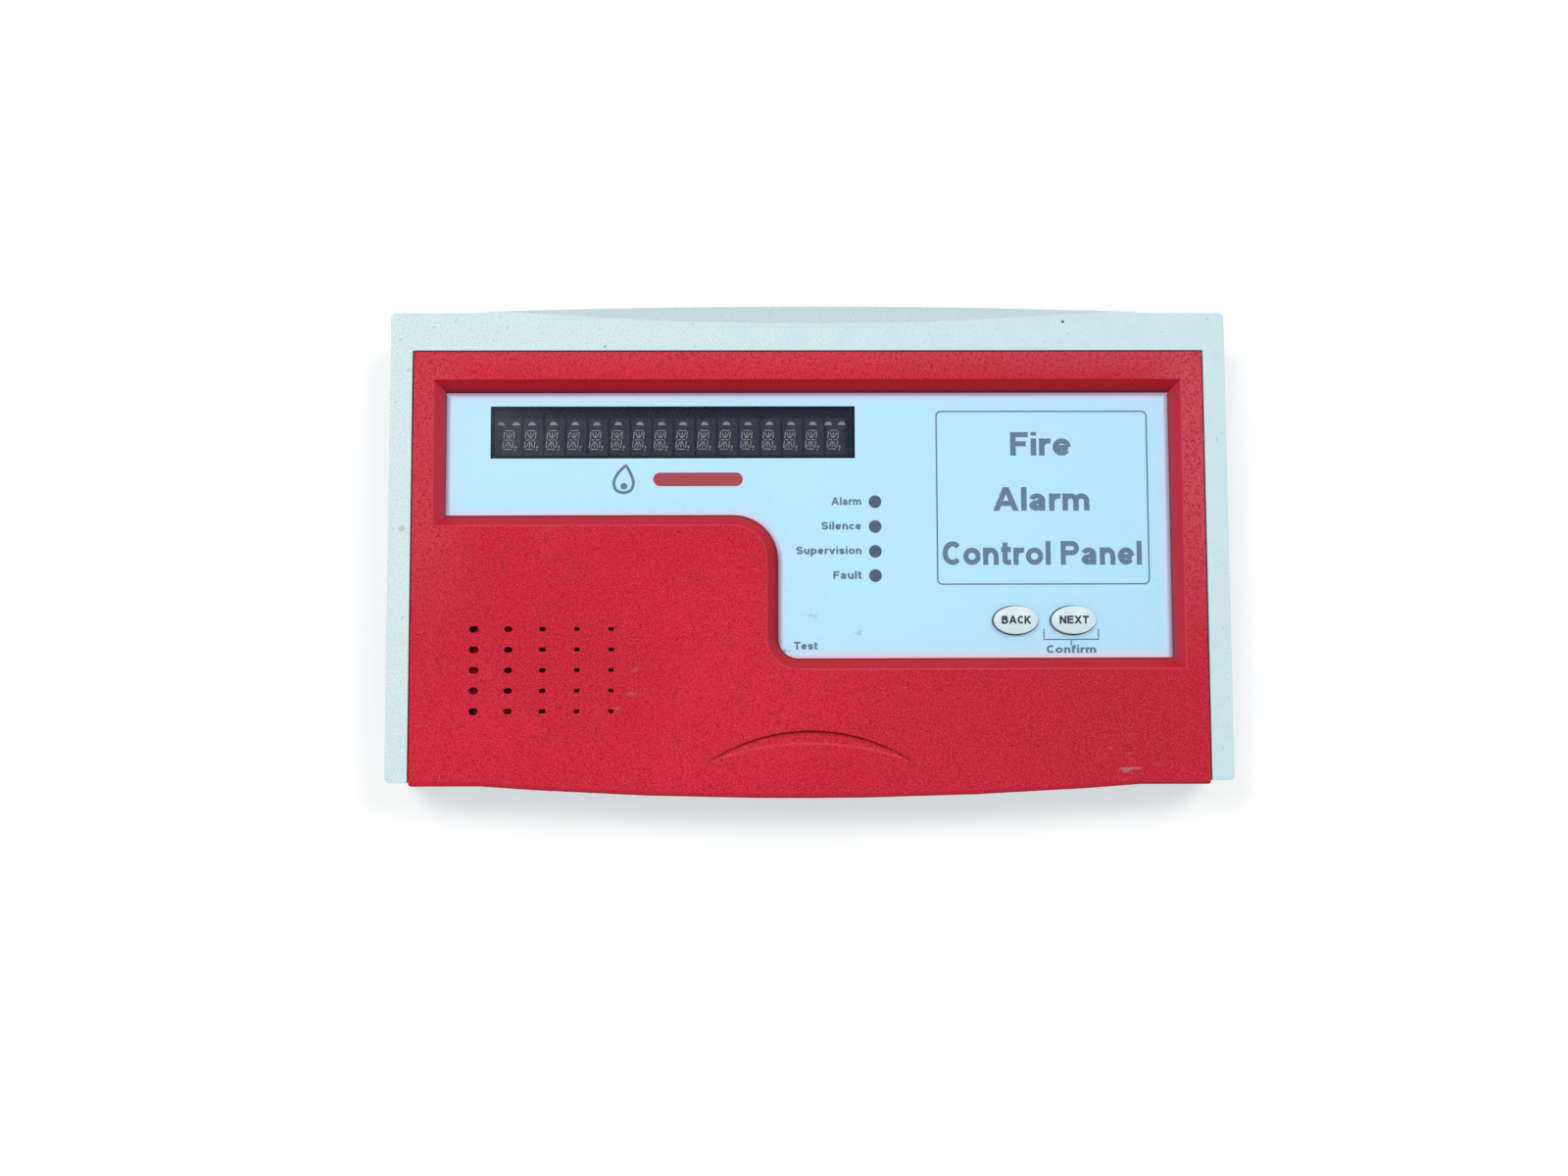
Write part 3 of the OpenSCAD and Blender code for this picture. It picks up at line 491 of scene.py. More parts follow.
def epoxy(name, base):
    """Tinted, diffusing epoxy."""
    look = Finish(name, Subsurface_Weight=0.4, Coat_Weight=0.6, Coat_Roughness=0.06)
    cloud = look.noise(0.8, 2.0)
    look.put("Subsurface Radius", (0.0006, 0.0003, 0.0002))
    clouded = look.mix(cloud, tint(base, 0.85), tint(base, 1.1))
    return look.done(clouded, look.scaled(cloud, 0.12, 0.2))


def winding():
    """Enamelled copper wire wound in close turns."""
    look = Finish("copper_wire", Metallic=0.85, Coat_Weight=0.5, Coat_Roughness=0.15)
    turns = look.wave(520.0, "Y", 0.2)
    copper = look.mix(turns, (0.16, 0.045, 0.015), (0.62, 0.24, 0.09))
    return look.done(copper, look.scaled(turns, 0.22, 0.38), turns, 0.15)


def sleeve():
    """Shrunk dark blue plastic sleeve."""
    look = Finish("cap_sleeve", Coat_Weight=0.2, Coat_Roughness=0.2)
    grain = look.noise(0.4, 2.0)
    blue = look.mix(grain, (0.010, 0.018, 0.050), (0.018, 0.030, 0.075))
    return look.done(blue, look.scaled(grain, 0.28, 0.4), grain, 0.01)


def slot_name(material):
    """The record's slot that a material is named after."""
    return material.name.split(".")[0]


MADE = (
    off_white_plastic(),
    red_plastic(),
    printed_label(),
    metal("blank_foil", (0.66, 0.67, 0.68), 0.35, brushed=(0.05, 1, 1)),
    see_through("light_window", (0.062, 0.095, 0.150), 0.93, 0.25),
    see_through("smoked_lens", (0.018, 0.034, 0.074), 0.22, 0.10, cloud=0.05),
    see_through("display_glass", (0.10, 0.13, 0.16), 0.07, 0.05),
    plastic("display_metal", (0.016, 0.024, 0.036), 0.25, 0.01, 0.5, 0.25),
    foam(),
    laminate(),
    epoxy("led_red", (0.60, 0.06, 0.04)),
    epoxy("led_yellow", (0.75, 0.50, 0.06)),
    plastic("key_plastic", (0.62, 0.76, 0.80), 0.4, 0.006, 0.34, 0.03,
            Coat_Weight=0.15, Coat_Roughness=0.25),
    plastic("black_plastic", (0.022, 0.022, 0.025), 0.4, 0.012, 0.42, 0.2, 0.08),
    metal("plated_steel", (0.62, 0.62, 0.60), 0.28),
    paper_cone(),
    metal("magnet_steel", (0.30, 0.30, 0.31), 0.42, stain=0.3),
    plastic("red_insulation", (0.55, 0.03, 0.02), 0.5, 0.01, 0.38, 0.08),
    plastic("black_insulation", (0.02, 0.02, 0.022), 0.5, 0.01, 0.38, 0.15),
    plastic("natural_nylon", (0.74, 0.73, 0.66), 0.5, 0.01, 0.42, 0.05,
            Subsurface_Weight=0.15),
    plastic("chip_plastic", (0.018, 0.018, 0.020), 0.25, 0.016, 0.55, 0.25, 0.06),
    sleeve(),
    plastic("ceramic", (0.40, 0.30, 0.19), 0.3, 0.01, 0.5, 0.15),
    winding(),
    metal("crystal_can", (0.66, 0.66, 0.67), 0.2, brushed=(0.2, 1, 1)),
    plastic("switch_red", (0.48, 0.035, 0.030), 0.35, 0.012, 0.4, 0.08, 0.05),
    plastic("slider_white", (0.80, 0.80, 0.77), 0.35, 0.008, 0.4, 0.04),
    plastic("terminal_green", (0.03, 0.21, 0.08), 0.35, 0.012, 0.4, 0.1, 0.05),
    plastic("plunger_red", (0.55, 0.06, 0.03), 0.35, 0.008, 0.4, 0.06),
)
FINISHES = {slot_name(material): material for material in MADE}


def dress(thing, material):
    """Gives every material slot of an object the material."""
    if not thing.material_slots:
        thing.data.materials.append(material)
    for place in thing.material_slots:
        place.material = material


for part in nodes.values():
    dress(part, FINISHES[slot_name(part.material_slots[0].material)])

PRINT_GREY = ink("ink_blue_grey", (0.108, 0.182, 0.275))
PRINT_RED = ink("ink_red", (0.36, 0.045, 0.070))
PRINT_DARK = ink("ink_dark", (0.012, 0.028, 0.050))
SEGMENT = ink("phosphor", (0.84, 0.91, 0.98))
SILKSCREEN = ink("silkscreen", (0.66, 0.68, 0.62))
TRACE = plastic("mask_over_copper", (0.030, 0.235, 0.105), 0.4, 0.004, 0.34, 0.06)
SOLDER = metal("solder", (0.62, 0.63, 0.65), 0.25)

# ---------------------------------------------------------------- rounded edges on the CAD parts


def smoothing_group():
    """Geometry nodes that shade smooth and keep edges over 35 degrees sharp."""
    group = bpy.data.node_groups.new("smooth_by_angle", "GeometryNodeTree")
    for direction in ("INPUT", "OUTPUT"):
        group.interface.new_socket("Geometry", in_out=direction, socket_type="NodeSocketGeometry")
    start = group.nodes.new("NodeGroupInput")
    end = group.nodes.new("NodeGroupOutput")
    angle = group.nodes.new("GeometryNodeInputMeshEdgeAngle")
    below = group.nodes.new("FunctionNodeCompare")
    below.operation = "LESS_EQUAL"
    below.inputs["B"].default_value = math.radians(35)
    faces = group.nodes.new("GeometryNodeSetShadeSmooth")
    edges = group.nodes.new("GeometryNodeSetShadeSmooth")
    edges.domain = "EDGE"
    group.links.new(start.outputs[0], faces.inputs["Geometry"])
    group.links.new(angle.outputs["Unsigned Angle"], below.inputs["A"])
    group.links.new(faces.outputs[0], edges.inputs["Geometry"])
    group.links.new(below.outputs["Result"], edges.inputs["Shade Smooth"])
    group.links.new(edges.outputs[0], end.inputs[0])
    return group


SMOOTH = smoothing_group()


def drop_normals(thing):
    """Drops the imported corner normals, which the modifiers would carry wrongly."""
    imported = thing.data.attributes.get("custom_normal")
    if imported:
        thing.data.attributes.remove(imported)


def soften(thing, width):
    """Welds the mesh, joins flat faces, rounds its sharp edges by width millimetres and smooths."""
    drop_normals(thing)
    weld = thing.modifiers.new("weld", "WELD")
    weld.merge_threshold = 1e-6
    joined = thing.modifiers.new("join_flat", "DECIMATE")
    joined.decimate_type = "DISSOLVE"
    joined.angle_limit = math.radians(0.8)
    if width:
        rounded = thing.modifiers.new("round_edges", "BEVEL")
        rounded.width = width * MM
        rounded.segments = 2
        rounded.limit_method = "ANGLE"
        rounded.angle_limit = math.radians(32)
        rounded.use_clamp_overlap = False
        rounded.loop_slide = False
    smooth = thing.modifiers.new("smooth", "NODES")
    smooth.node_group = SMOOTH
    cut = thing.modifiers.new("triangles", "TRIANGULATE")
    cut.ngon_method = "BEAUTY"
    weighted = thing.modifiers.new("even_normals", "WEIGHTED_NORMAL")
    weighted.keep_sharp = True


# Rounding of the edges in millimetres; the parts under 0.0 are only smoothed
EDGE_WIDTHS = {
    0.0: ("main_board", "prev_key", "next_key", "speaker_lead_red", "speaker_lead_black"),
    0.06: ("label_overlay", "terminal_screws"),
    0.08: (
        "terminal_plug", "microcontroller", "driver_chips", "speaker_basket", "smd_parts",
        "led_block", "board_screws", "faceplate_screws", "strap_screws",
    ),
    0.1: (
        "red_faceplate", "wall_base", "data_header", "address_switch", "tamper_switch",
        "prev_switch", "next_switch", "speaker_strap", "inverter_coil",
    ),
    0.12: (
        "front_housing", "speaker_plug", "electrolytic_caps",
        *(f"address_slider_{number}" for number in range(1, 7)),
    ),
    0.15: ("tamper_plunger",),
    0.2: ("crystal",),
    0.3: ("speaker_magnet",),
}
for width, names in EDGE_WIDTHS.items():
    for name in names:
        soften(nodes[name], width)
for name in ("speaker_lead_red", "speaker_lead_black"):
    rounder = nodes[name].modifiers.new("rounder", "SUBSURF")
    rounder.levels = rounder.render_levels = 1

# ---------------------------------------------------------------- drawing tools


def to_world(x, z, depth):
    return Vector((x * MM, -depth * MM, z * MM))


def finish_piece(name, work, material, body="front", smooth=False):
    """Turns a bmesh into a piece that rides on a body and wears the given material."""
    bmesh.ops.recalc_face_normals(work, faces=work.faces)
    mesh = bpy.data.meshes.new(name)
    work.to_mesh(mesh)
    work.free()
    piece = bpy.data.objects.new(name, mesh)
    bpy.context.scene.collection.objects.link(piece)
    dress(piece, material)
    mesh.polygons.foreach_set("use_smooth", [smooth] * len(mesh.polygons))
    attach(piece, body)
    return piece


def arc(x, z, rx, rz, start, end, step=15):
    """Points of an elliptical arc, from one angle to another in degrees."""
    count = max(2, round(abs(end - start) / step))
    angles = [math.radians(start + (end - start) * i / count) for i in range(count + 1)]
    return [(x + rx * math.cos(a), z + rz * math.sin(a)) for a in angles]


def circle(x, z, radius, sides):
    """Corners of a regular polygon."""
    return arc(x, z, radius, radius, 0, 360, 360 / sides)[:-1]


def ring(work, outline, depth):
    """A ring of vertices along an outline, at one depth."""
    return [work.verts.new(to_world(x, z, depth)) for x, z in outline]


def skin(work, rings):
    """The faces between each ring of vertices and the next."""
    for here, there in zip(rings, rings[1:]):
        for i in range(len(here)):
            j = (i + 1) % len(here)
            work.faces.new([here[i], here[j], there[j], there[i]])


def cap(work, rings):
    """The two end faces of a row of rings."""
    work.faces.new(rings[0][::-1])
    work.faces.new(rings[-1])


X_HEIGHT = 0.73


def letter(name, pen):
    """A plain sans-serif letter with capitals 1 high: (width, strokes, bars).

    A stroke is a line of the pen's width through its points. A bar is a straight limb whose ends
    are cut level.
    """
    h = pen / 2
    top = X_HEIGHT - h
    half = X_HEIGHT / 2

    def stem(x, low=0.0, high=1.0):
        return [(x, low), (x, high)]

    def bowl(x, z, rx, rz):
        curve = arc(w - x, z, rx - h, rz - h, 90, -90)
        return [(0, z + rz - h), (w - x, z + rz - h)] + curve + [(0, z - rz + h)]

    def level(z, left=0.0, right=1.0):
        return [(left * w, z), (right * w, z)]

    def arch(left, right, drop):
        reach = (right - left) / 2
        return arc(left + reach, top - drop, reach, drop, 180, 0) + [(right, 0)]

    def snake(width, height):
        rise = (height - 2 * h) / 4
        x, reach = width / 2, width / 2 - h
        upper = arc(x, height - h - rise, reach, rise, 15, 265)
        return upper + arc(x, h + rise, reach, rise, 85, -165)

    if name == " ":
        return 0.22, [], []
    w = {
        "i": pen, "l": pen, "r": 0.42, "t": 0.42, "f": 0.42, "s": 0.66, "e": 0.70, "c": 0.67,
        "a": 0.67, "n": 0.66, "u": 0.66, "o": 0.74, "p": 0.71, "m": 1.05, "v": 0.72, "F": 0.68,
        "E": 0.74, "T": 0.78, "A": 0.98, "S": 0.80, "P": 0.78, "N": 0.80, "X": 0.88, "B": 0.80,
        "C": 0.84, "K": 0.84,
    }[name]
    full_bowl = arc(w / 2, half, w / 2 - h, half - h, 0, 360)
    shoulder = 0.26
    strokes = {
        "i": [stem(h, 0, X_HEIGHT), stem(h, 0.85, 1)],
        "l": [stem(h)],
        "r": [stem(h, 0, X_HEIGHT), arc(h + 0.27, top - 0.25, 0.27, 0.25, 180, 75)],
        "t": [
            [(0.17, 0.95), (0.17, 0.17)] + arc(0.30, 0.18, 0.13, 0.18 - h, 190, 270) + [(w, h)],
            level(top + 0.03),
        ],
        "f": [
            [(0.17, 0), (0.17, 0.80)] + arc(0.31, 0.82, 0.14, 0.18 - h, 170, 90) + [(w, 1 - h)],
            level(top + 0.03),
        ],
        "s": [snake(w, X_HEIGHT)],
        "e": [
            arc(w / 2, half, w / 2 - h, half - h, 0, 325),
            [(h, half - 0.02), (w - h, half - 0.02)],
        ],
        "c": [arc(w / 2, half, w / 2 - h, half - h, 40, 320)],
        "a": [
            arc(w / 2 - 0.03, top - 0.17, w / 2 - h - 0.02, 0.17, 165, 0) + [(w - h - 0.05, 0)],
            arc(w / 2 - 0.06, 0.22, w / 2 - h - 0.06, 0.22 - h, 75, 345) + [(w - h - 0.05, 0.28)],
            [(w / 2 - 0.02, 0.22 + 0.22 - h), (w - h - 0.05, 0.46)],
        ],
        "n": [stem(h, 0, X_HEIGHT), arch(h, w - h, shoulder)],
        "u": [
            stem(w - h, 0, X_HEIGHT),
            [(h, X_HEIGHT)] + arc(w / 2, h + shoulder, w / 2 - h, shoulder, 180, 360),
        ],
        "o": [full_bowl],
        "m": [stem(h, 0, X_HEIGHT), arch(h, w / 2, 0.22), arch(w / 2, w - h, 0.22)],
        "p": [full_bowl, stem(h, -0.28, X_HEIGHT)],
        "F": [stem(h), level(1 - h), level(0.50, 0, 0.88)],
        "E": [stem(h), level(1 - h), level(0.52, 0, 0.93), level(h)],
        "T": [stem(w / 2), level(1 - h)],
        "A": [level(0.31, 0.22, 0.78)],
        "S": [snake(w, 1.0)],
        "P": [stem(h), bowl(0.30, 0.70, 0.30, 0.30)],
        "B": [
            stem(h),
            bowl(0.34, 0.76, 0.30, 0.24),
            [(w - 0.34, 0.52 + h)]
            + arc(w - 0.30, 0.31, 0.30 - h, 0.31 - h, 90, -90)
            + [(0, h)],
        ],
        "C": [arc(w / 2, 0.5, w / 2 - h, 0.5 - h, 42, 318)],
        "N": [stem(h), stem(w - h)],
        "K": [stem(h)],
    }.get(name, [])
    bars = {
        "A": [(h, 0, w / 2, 1), (w - h, 0, w / 2, 1)],
        "v": [(h, X_HEIGHT, w / 2, 0), (w - h, X_HEIGHT, w / 2, 0)],
        "N": [(h, 1, w - h, 0)],
        "X": [(h, 0, w - h, 1), (w - h, 0, h, 1)],
        "K": [(h, 0.30, w - h - 0.03, 1), (w * 0.40, 0.56, w - h, 0)],
    }.get(name, [])
    return w - (0.07 if name in "Cc" else 0.0), strokes, bars


def beside(points, shift, closed=False):
    """The line that runs along another, shift millimetres to its left and mitred at its corners."""
    points = [Vector(p) for p in points]
    moved = []
    for i, here in enumerate(points):
        before = points[i - 1] if i or closed else here
        after = points[(i + 1) % len(points)] if i + 1 < len(points) or closed else here
        into = (here - before if before != here else after - here).normalized()
        out = (after - here).normalized() if after != here else into
        across = Vector((-into.y - out.y, into.x + out.x)).normalized()
        moved.append(tuple(here + across * shift / max(0.4, across.dot(Vector((-out.y, out.x))))))
    return moved


class Drawing:
    """Flat shapes in millimetres, x across and z up, that become one thin raised piece."""

    def __init__(self):
        self.faces = []

    def polygon(self, points):
        self.faces.append(list(points))

    def disc(self, x, z, radius, sides):
        self.polygon(circle(x, z, radius, sides))

    def stroke(self, points, width, closed=False):
        """A line of even width through the points, mitred at its corners."""
        left, right = (beside(points, side * width / 2, closed) for side in (1, -1))
        for i in range(len(points) if closed else len(points) - 1):
            j = (i + 1) % len(points)
            self.polygon([left[i], left[j], right[j], right[i]])

    def words(self, text, left, right, base, cap_height, pen):
        """Words that run from left to right and stand on base; pen is a share of the capitals."""
        flat = Drawing()
        start = 0.0
        gap = 0.10
        for name in text:
            width, strokes, bars = letter(name, pen)
            for points in strokes:
                flat.stroke([(start + x, y) for x, y in points], pen)
            for x0, y0, x1, y1 in bars:
                reach = pen / 2 * math.hypot(x1 - x0, y1 - y0) / abs(y1 - y0)
                flat.polygon(
                    [(start + x0 - reach, y0), (start + x0 + reach, y0),
                     (start + x1 + reach, y1), (start + x1 - reach, y1)]
                )
            start += width + gap
        wide = (right - left) / (start - gap)
        for face in flat.faces:
            self.polygon([(left + x * wide, base + y * cap_height) for x, y in face])

    def covers(self, point):
        """Whether any shape drawn covers the point."""
        x, z = point
        for face in self.faces:
            inside = False
            for (x0, z0), (x1, z1) in zip(face, face[1:] + face[:1]):
                if (z0 > z) != (z1 > z) and x < x0 + (x1 - x0) * (z - z0) / (z1 - z0):
                    inside = not inside
            if inside:
                return True
        return False

    def piece(self, name, depths, slot, material, body="front", surface=None):
        """Thickens the drawing between two depths out from the wall; surface(x, z) lifts it."""
        work = bmesh.new()
        points, lines = [], []
        for face in self.faces:
            first, count = len(points), len(face)
            points += [Vector(p) for p in face]
            lines += [(first + i, first + (i + 1) % count) for i in range(count)]
        joined = delaunay_2d_cdt(points, lines, [], 0, 1e-4)
        corners = [work.verts.new((*p, 0)) for p in joined[0]]
        for triangle in joined[2]:
            centre = sum((joined[0][i] for i in triangle), Vector((0, 0))) / 3
            if self.covers(centre):
                work.faces.new([corners[i] for i in triangle])
        spare = [v for v in work.verts if not v.link_faces]
        bmesh.ops.delete(work, geom=spare, context="VERTS")
        grown = bmesh.ops.extrude_face_region(work, geom=work.faces[:], use_keep_orig=True)
        raised = {v for v in grown["geom"] if isinstance(v, bmesh.types.BMVert)}
        for v in work.verts:
            lift = surface(v.co.x, v.co.y) if surface else 0.0
            depth = (depths[1] if v in raised else depths[0]) + lift
            v.co = to_world(v.co.x, v.co.y, depth)
        return finish_piece(name, work, material, body)


def round_corners(left, right, bottom, top, radius, steps=6):
    """Corner points of a rounded rectangle, anticlockwise."""
    centres = (
        (right - radius, top - radius, 0),
        (left + radius, top - radius, 90),
        (left + radius, bottom + radius, 180),
        (right - radius, bottom + radius, 270),
    )
    return [
        point
        for x, z, start in centres
        for point in arc(x, z, radius, radius, start, start + 90, 90 / steps)
    ]


def lathe(name, place, profile, material, sides):
    """A closed profile of (radius, depth) points turned about an axis out from the wall."""
    work = bmesh.new()
    rings = [ring(work, circle(*place, radius, sides), depth) for radius, depth in profile]
    skin(work, rings + rings[:1])
    bmesh.ops.remove_doubles(work, verts=work.verts, dist=1e-7)
    bmesh.ops.dissolve_degenerate(work, edges=work.edges, dist=1e-7)
    return finish_piece(name, work, material, smooth=True)


# ---------------------------------------------------------------- foam


def foam_pad(name, x_span, z_span, depths):
    """A block of foam whose sides swell a little between the two faces that squeeze it."""
    (left, right), (bottom, top), (back, front) = x_span, z_span, depths
    work = bmesh.new()
    rings = []
    for step in range(9):
        share = step / 8
        pinch = 0.35 * (2 * share - 1) ** 4 + 0.10 * (2 * share - 1) ** 2
        outline = round_corners(left + pinch, right - pinch, bottom + pinch, top - pinch, 0.7, 5)
        rings.append(ring(work, outline, back + (front - back) * share))
    skin(work, rings)
    cap(work, rings)
    pad = finish_piece(name, work, FINISHES["foam"], smooth=True)
    pad.modifiers.new("smooth", "NODES").node_group = SMOOTH
    return pad


def pillow(radius, depth, half_width, half_thickness):
    """A profile with swollen sides, for a ring of foam of this middle radius and depth."""
    profile = []
    for i in range(24):
        turn = 2 * math.pi * i / 24
        across, out = (math.copysign(abs(c) ** 0.6, c) for c in (math.cos(turn), math.sin(turn)))
        profile.append((radius + across * half_width, depth + out * half_thickness))
    return profile


def foam_pieces():
    """Two pads behind the display, and the ring in front of the speaker."""
    (left, right), z_span, depths = extent("vfd_cushions")
    for number, x_span in enumerate(((left, left + 6), (right - 6, right)), 1):
        pad = foam_pad(f"display_pad_{number}", x_span, z_span, depths)
        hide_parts("vfd_cushions")
    (left, right), _, (back, front) = extent("speaker_gasket")
    wide = 2.0
    profile = pillow((right - left - wide) / 2, middle((back, front)), wide / 2, (front - back) / 2)
    place = centre_of("speaker_gasket")
    seal = lathe("speaker_ring", place, profile, FINISHES["foam"], sides=96)
    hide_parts("speaker_gasket")


foam_pieces()

# ---------------------------------------------------------------- details on the circuit board


def solids_of(node):
    """The box of each separate solid in a CAD node: (x span, z span, depth span), left to right."""
    work = bmesh.new()
    work.from_mesh(nodes[node].data)
    bmesh.ops.remove_doubles(work, verts=work.verts, dist=1e-6)
    seen, boxes = set(), []
    to_place = nodes[node].matrix_world
    for start in work.verts:
        if start in seen:
            continue
        seen.add(start)
        group, waiting = [], [start]
        while waiting:
            here = waiting.pop()
            group.append(to_place @ here.co)
            for edge in here.link_edges:
                there = edge.other_vert(here)
                if there not in seen:
                    seen.add(there)
                    waiting.append(there)
        spans = [
            (min(p[k] for p in group) / MM, max(p[k] for p in group) / MM) for k in range(3)
        ]
        boxes.append((spans[0], spans[2], (-spans[1][1], -spans[1][0])))
    work.free()
    return sorted(boxes)


_, _, (board_back, _) = extent("main_board")
_, (lowest_lead, _), _ = extent("vfd_leads")
joint_z = lowest_lead + 0.15
joints = [middle(x_span) for x_span, _, _ in solids_of("vfd_leads")]
small_parts = solids_of("smd_parts")
# The display's drivers, without the small chips beside them
drivers = [box for box in solids_of("driver_chips") if box[0][1] - box[0][0] > 10]


def lay_on_board(drawing, name, thickness, material):
    depths = (board_back - thickness, board_back + 0.01)
    drawing.piece(name, depths, "board_laminate", material)


def domes(name, spots, radius, height, material):
    """Small domes on the face of the board that looks to the wall."""
    work = bmesh.new()
    for x, z in spots:
        rings = [
            ring(work, circle(x, z, radius * share, 12), board_back - height * rise)
            for share, rise in ((1.0, -0.02), (0.92, 0.35), (0.62, 0.80), (0.30, 1.0))
        ]
        skin(work, rings)
        cap(work, rings)
    piece = finish_piece(name, work, material, smooth=True)
    piece.modifiers.new("smooth", "NODES").node_group = SMOOTH


def traces():
    """Copper tracks under the mask, on the side of the board that looks to the wall."""
    columns = sorted({round(middle(box[0]), 2) for box in small_parts})
    rows = sorted({round(middle(box[1]), 2) for box in small_parts})
    copper = Drawing()
    for x in joints:
        over = any(box[0][0] < x < box[0][1] for box in drivers)
        copper.stroke([(x, joint_z), (x, joint_z + (2.6 if over else 1.3))], 0.45)
    for x in columns:
        copper.stroke([(x + 0.8, rows[0]), (x + 0.8, rows[-1])], 0.4)
        copper.stroke([(x - 0.8, rows[-1]), (x - 0.8, joint_z - 1.2), (x - 2.0, joint_z)], 0.4)
    # Bundles of tracks: the middle of the bundle, how many, their pitch and their width
    routes = (
        ([(61, 2), (40, 2), (26, -12), (0, -12), (-14, 2), (-14, 13), (-20, 19)], 8, 0.75, 0.4),
        ([(57, -24), (48, -24), (37, -13), (37, -6), (41, -2), (61, -2)], 6, 0.75, 0.4),
        ([(24, 33), (24, 37), (50, 37), (56, 31), (60, 31)], 4, 0.8, 0.4),
        ([(78, 9), (85, 9), (85, 17), (82, 20)], 3, 0.8, 0.4),
        ([(50, 20), (50, 16), (56, 12), (61, 12)], 2, 1.6, 0.4),
        ([(-4, -27), (-14, -27), (-20, -21.5)], 2, 1.6, 0.5),
    )
    for points, count, pitch, width in routes:
        for i in range(count):
            copper.stroke(beside(points, (i - (count - 1) / 2) * pitch), width)
    for points in (
        [(8.5, 24), (8.5, 16), (-6, 16), (-6, 5), (-2, 1)],
        [(62, 20), (57, 15), (44, 15), (40, 19)],
        [(80, 30), (86, 36), (86, 39)],
    ):
        copper.stroke(points, 1.7)
    lay_on_board(copper, "board_traces", 0.035, TRACE)


def legend():
    """White outlines round the parts, polarity marks and pin-one dots, without any lettering."""
    white = Drawing()
    line, margin = 0.22, 0.7
    framed = (
        "microcontroller", "crystal", "data_header", "address_switch", "tamper_switch",
        "speaker_plug", "inverter_coil",
    )
    for (x0, x1), (z0, z1), _ in drivers + [extent(node) for node in framed]:
        outline = (x0 - margin, x1 + margin, z0 - margin, z1 + margin)
        white.stroke(round_corners(*outline, 0.5, 2), line, closed=True)
    for x_span, z_span, _ in solids_of("electrolytic_caps"):
        x, z = middle(x_span), middle(z_span)
        white.stroke(arc(x, z, 4.6, 4.6, 0, 360), line)
        white.stroke([(x - 5.6, z + 4.3), (x - 4.4, z + 4.3)], line)
        white.stroke([(x - 5.0, z + 3.7), (x - 5.0, z + 4.9)], line)
    for (x0, x1), (z0, z1), _ in small_parts:
        for z in (z0 - 0.45, z1 + 0.45):
            white.stroke([(x0 - 0.1, z), (x1 + 0.1, z)], 0.16)
    for (x0, _), (z0, _), _ in drivers:
        white.disc(x0 - 1.8, z0 - 0.2, 0.4, 16)
    white.stroke([(43, -34), (88, -34), (89, -33), (89, -12)], 0.2)
    lay_on_board(white, "board_legend", 0.05, SILKSCREEN)


def solder():
    """Solder joints of the parts whose legs come through the board, and plated vias."""
    lights = [centre_of(f"led_{name}") for name in ("fire", "silenced", "supervisory", "trouble")]
    spots = [(x + side * 1.27, z) for x, z in lights for side in (-1, 1)]
    key_x, key_z = centre_of("prev_switch")
    spots += [(key_x + a * 3.25, key_z + b * 2.25) for a in (-1, 1) for b in (-1, 1)]
    domes("board_solder", spots, 0.85, 0.75, SOLDER)
    domes("display_solder", [(x, joint_z) for x in joints], 0.75, 0.6, SOLDER)
    vias = [(-14 + 1.1 * i, -1.5 - 1.1 * i) for i in range(4)]
    vias += [(44 + 2.2 * i, 8.5) for i in range(5)] + [(22 + 1.8 * i, -24.5) for i in range(6)]
    vias += [(-86.5, 30 - 3 * i) for i in range(4)] + [(-45 + 2.5 * i, 35.5) for i in range(9)]
    domes("board_vias", vias, 0.38, 0.06, SOLDER)


def part_ends():
    """Tinned end caps of the small surface-mounted parts."""
    ends = bmesh.new()
    for (x0, x1), (z0, z1), (back, front) in small_parts:
        for low, high in ((x0 - 0.03, x0 + 0.42), (x1 - 0.42, x1 + 0.03)):
            outline = [(low, z0 - 0.03), (high, z0 - 0.03), (high, z1 + 0.03), (low, z1 + 0.03)]
            rings = [ring(ends, outline, depth) for depth in (back - 0.03, front)]
            skin(ends, rings)
            cap(ends, rings)
    bmesh.ops.recalc_face_normals(ends, faces=ends.faces)
    bmesh.ops.bevel(ends, geom=ends.edges[:], offset=0.06 * MM, segments=2, affect="EDGES")
    finish_piece("smd_ends", ends, SOLDER)


def coil_turns():
    """Turns of wire round the coil's core."""
    _, _, (back, front) = extent("inverter_coil")
    first, last, core, turns = back + 1.3, front - 2.1, 4.6, 13
    profile = [(core - 0.3, first)]
    for i in range(turns * 6 + 1):
        share = i / (turns * 6)
        bulge = 0.16 * math.cos(2 * math.pi * share * turns + math.pi)
        profile.append((core + 0.18 + bulge, first + (last - first) * share))
    profile.append((core - 0.3, last))
    place = centre_of("inverter_coil")
    lathe("coil_turns", place, profile, FINISHES["copper_wire"], sides=48)


def chip_marks():
    """A moulded dimple beside the first pin of each chip."""
    corners = [(x + 2.2, z + 3.4, back) for (x, _), (z, _), (back, _) in drivers]
    (left, _), (bottom, _), (back, _) = extent("microcontroller")
    corners.append((left + 3.2, bottom + 3.2, back))
    dimple = ((0.0, -0.012), (0.55, -0.012), (0.75, -0.02), (0.85, 0.02), (0.0, 0.02))
    for number, (x, z, back) in enumerate(corners, 1):
        profile = [(radius, back + rise) for radius, rise in dimple]
        name = f"chip_dimple_{number}"
        lathe(name, (x, z), profile, FINISHES["black_plastic"], sides=24)


traces()
legend()
solder()
part_ends()
coil_turns()
chip_marks()

# ---------------------------------------------------------------- printing on the label

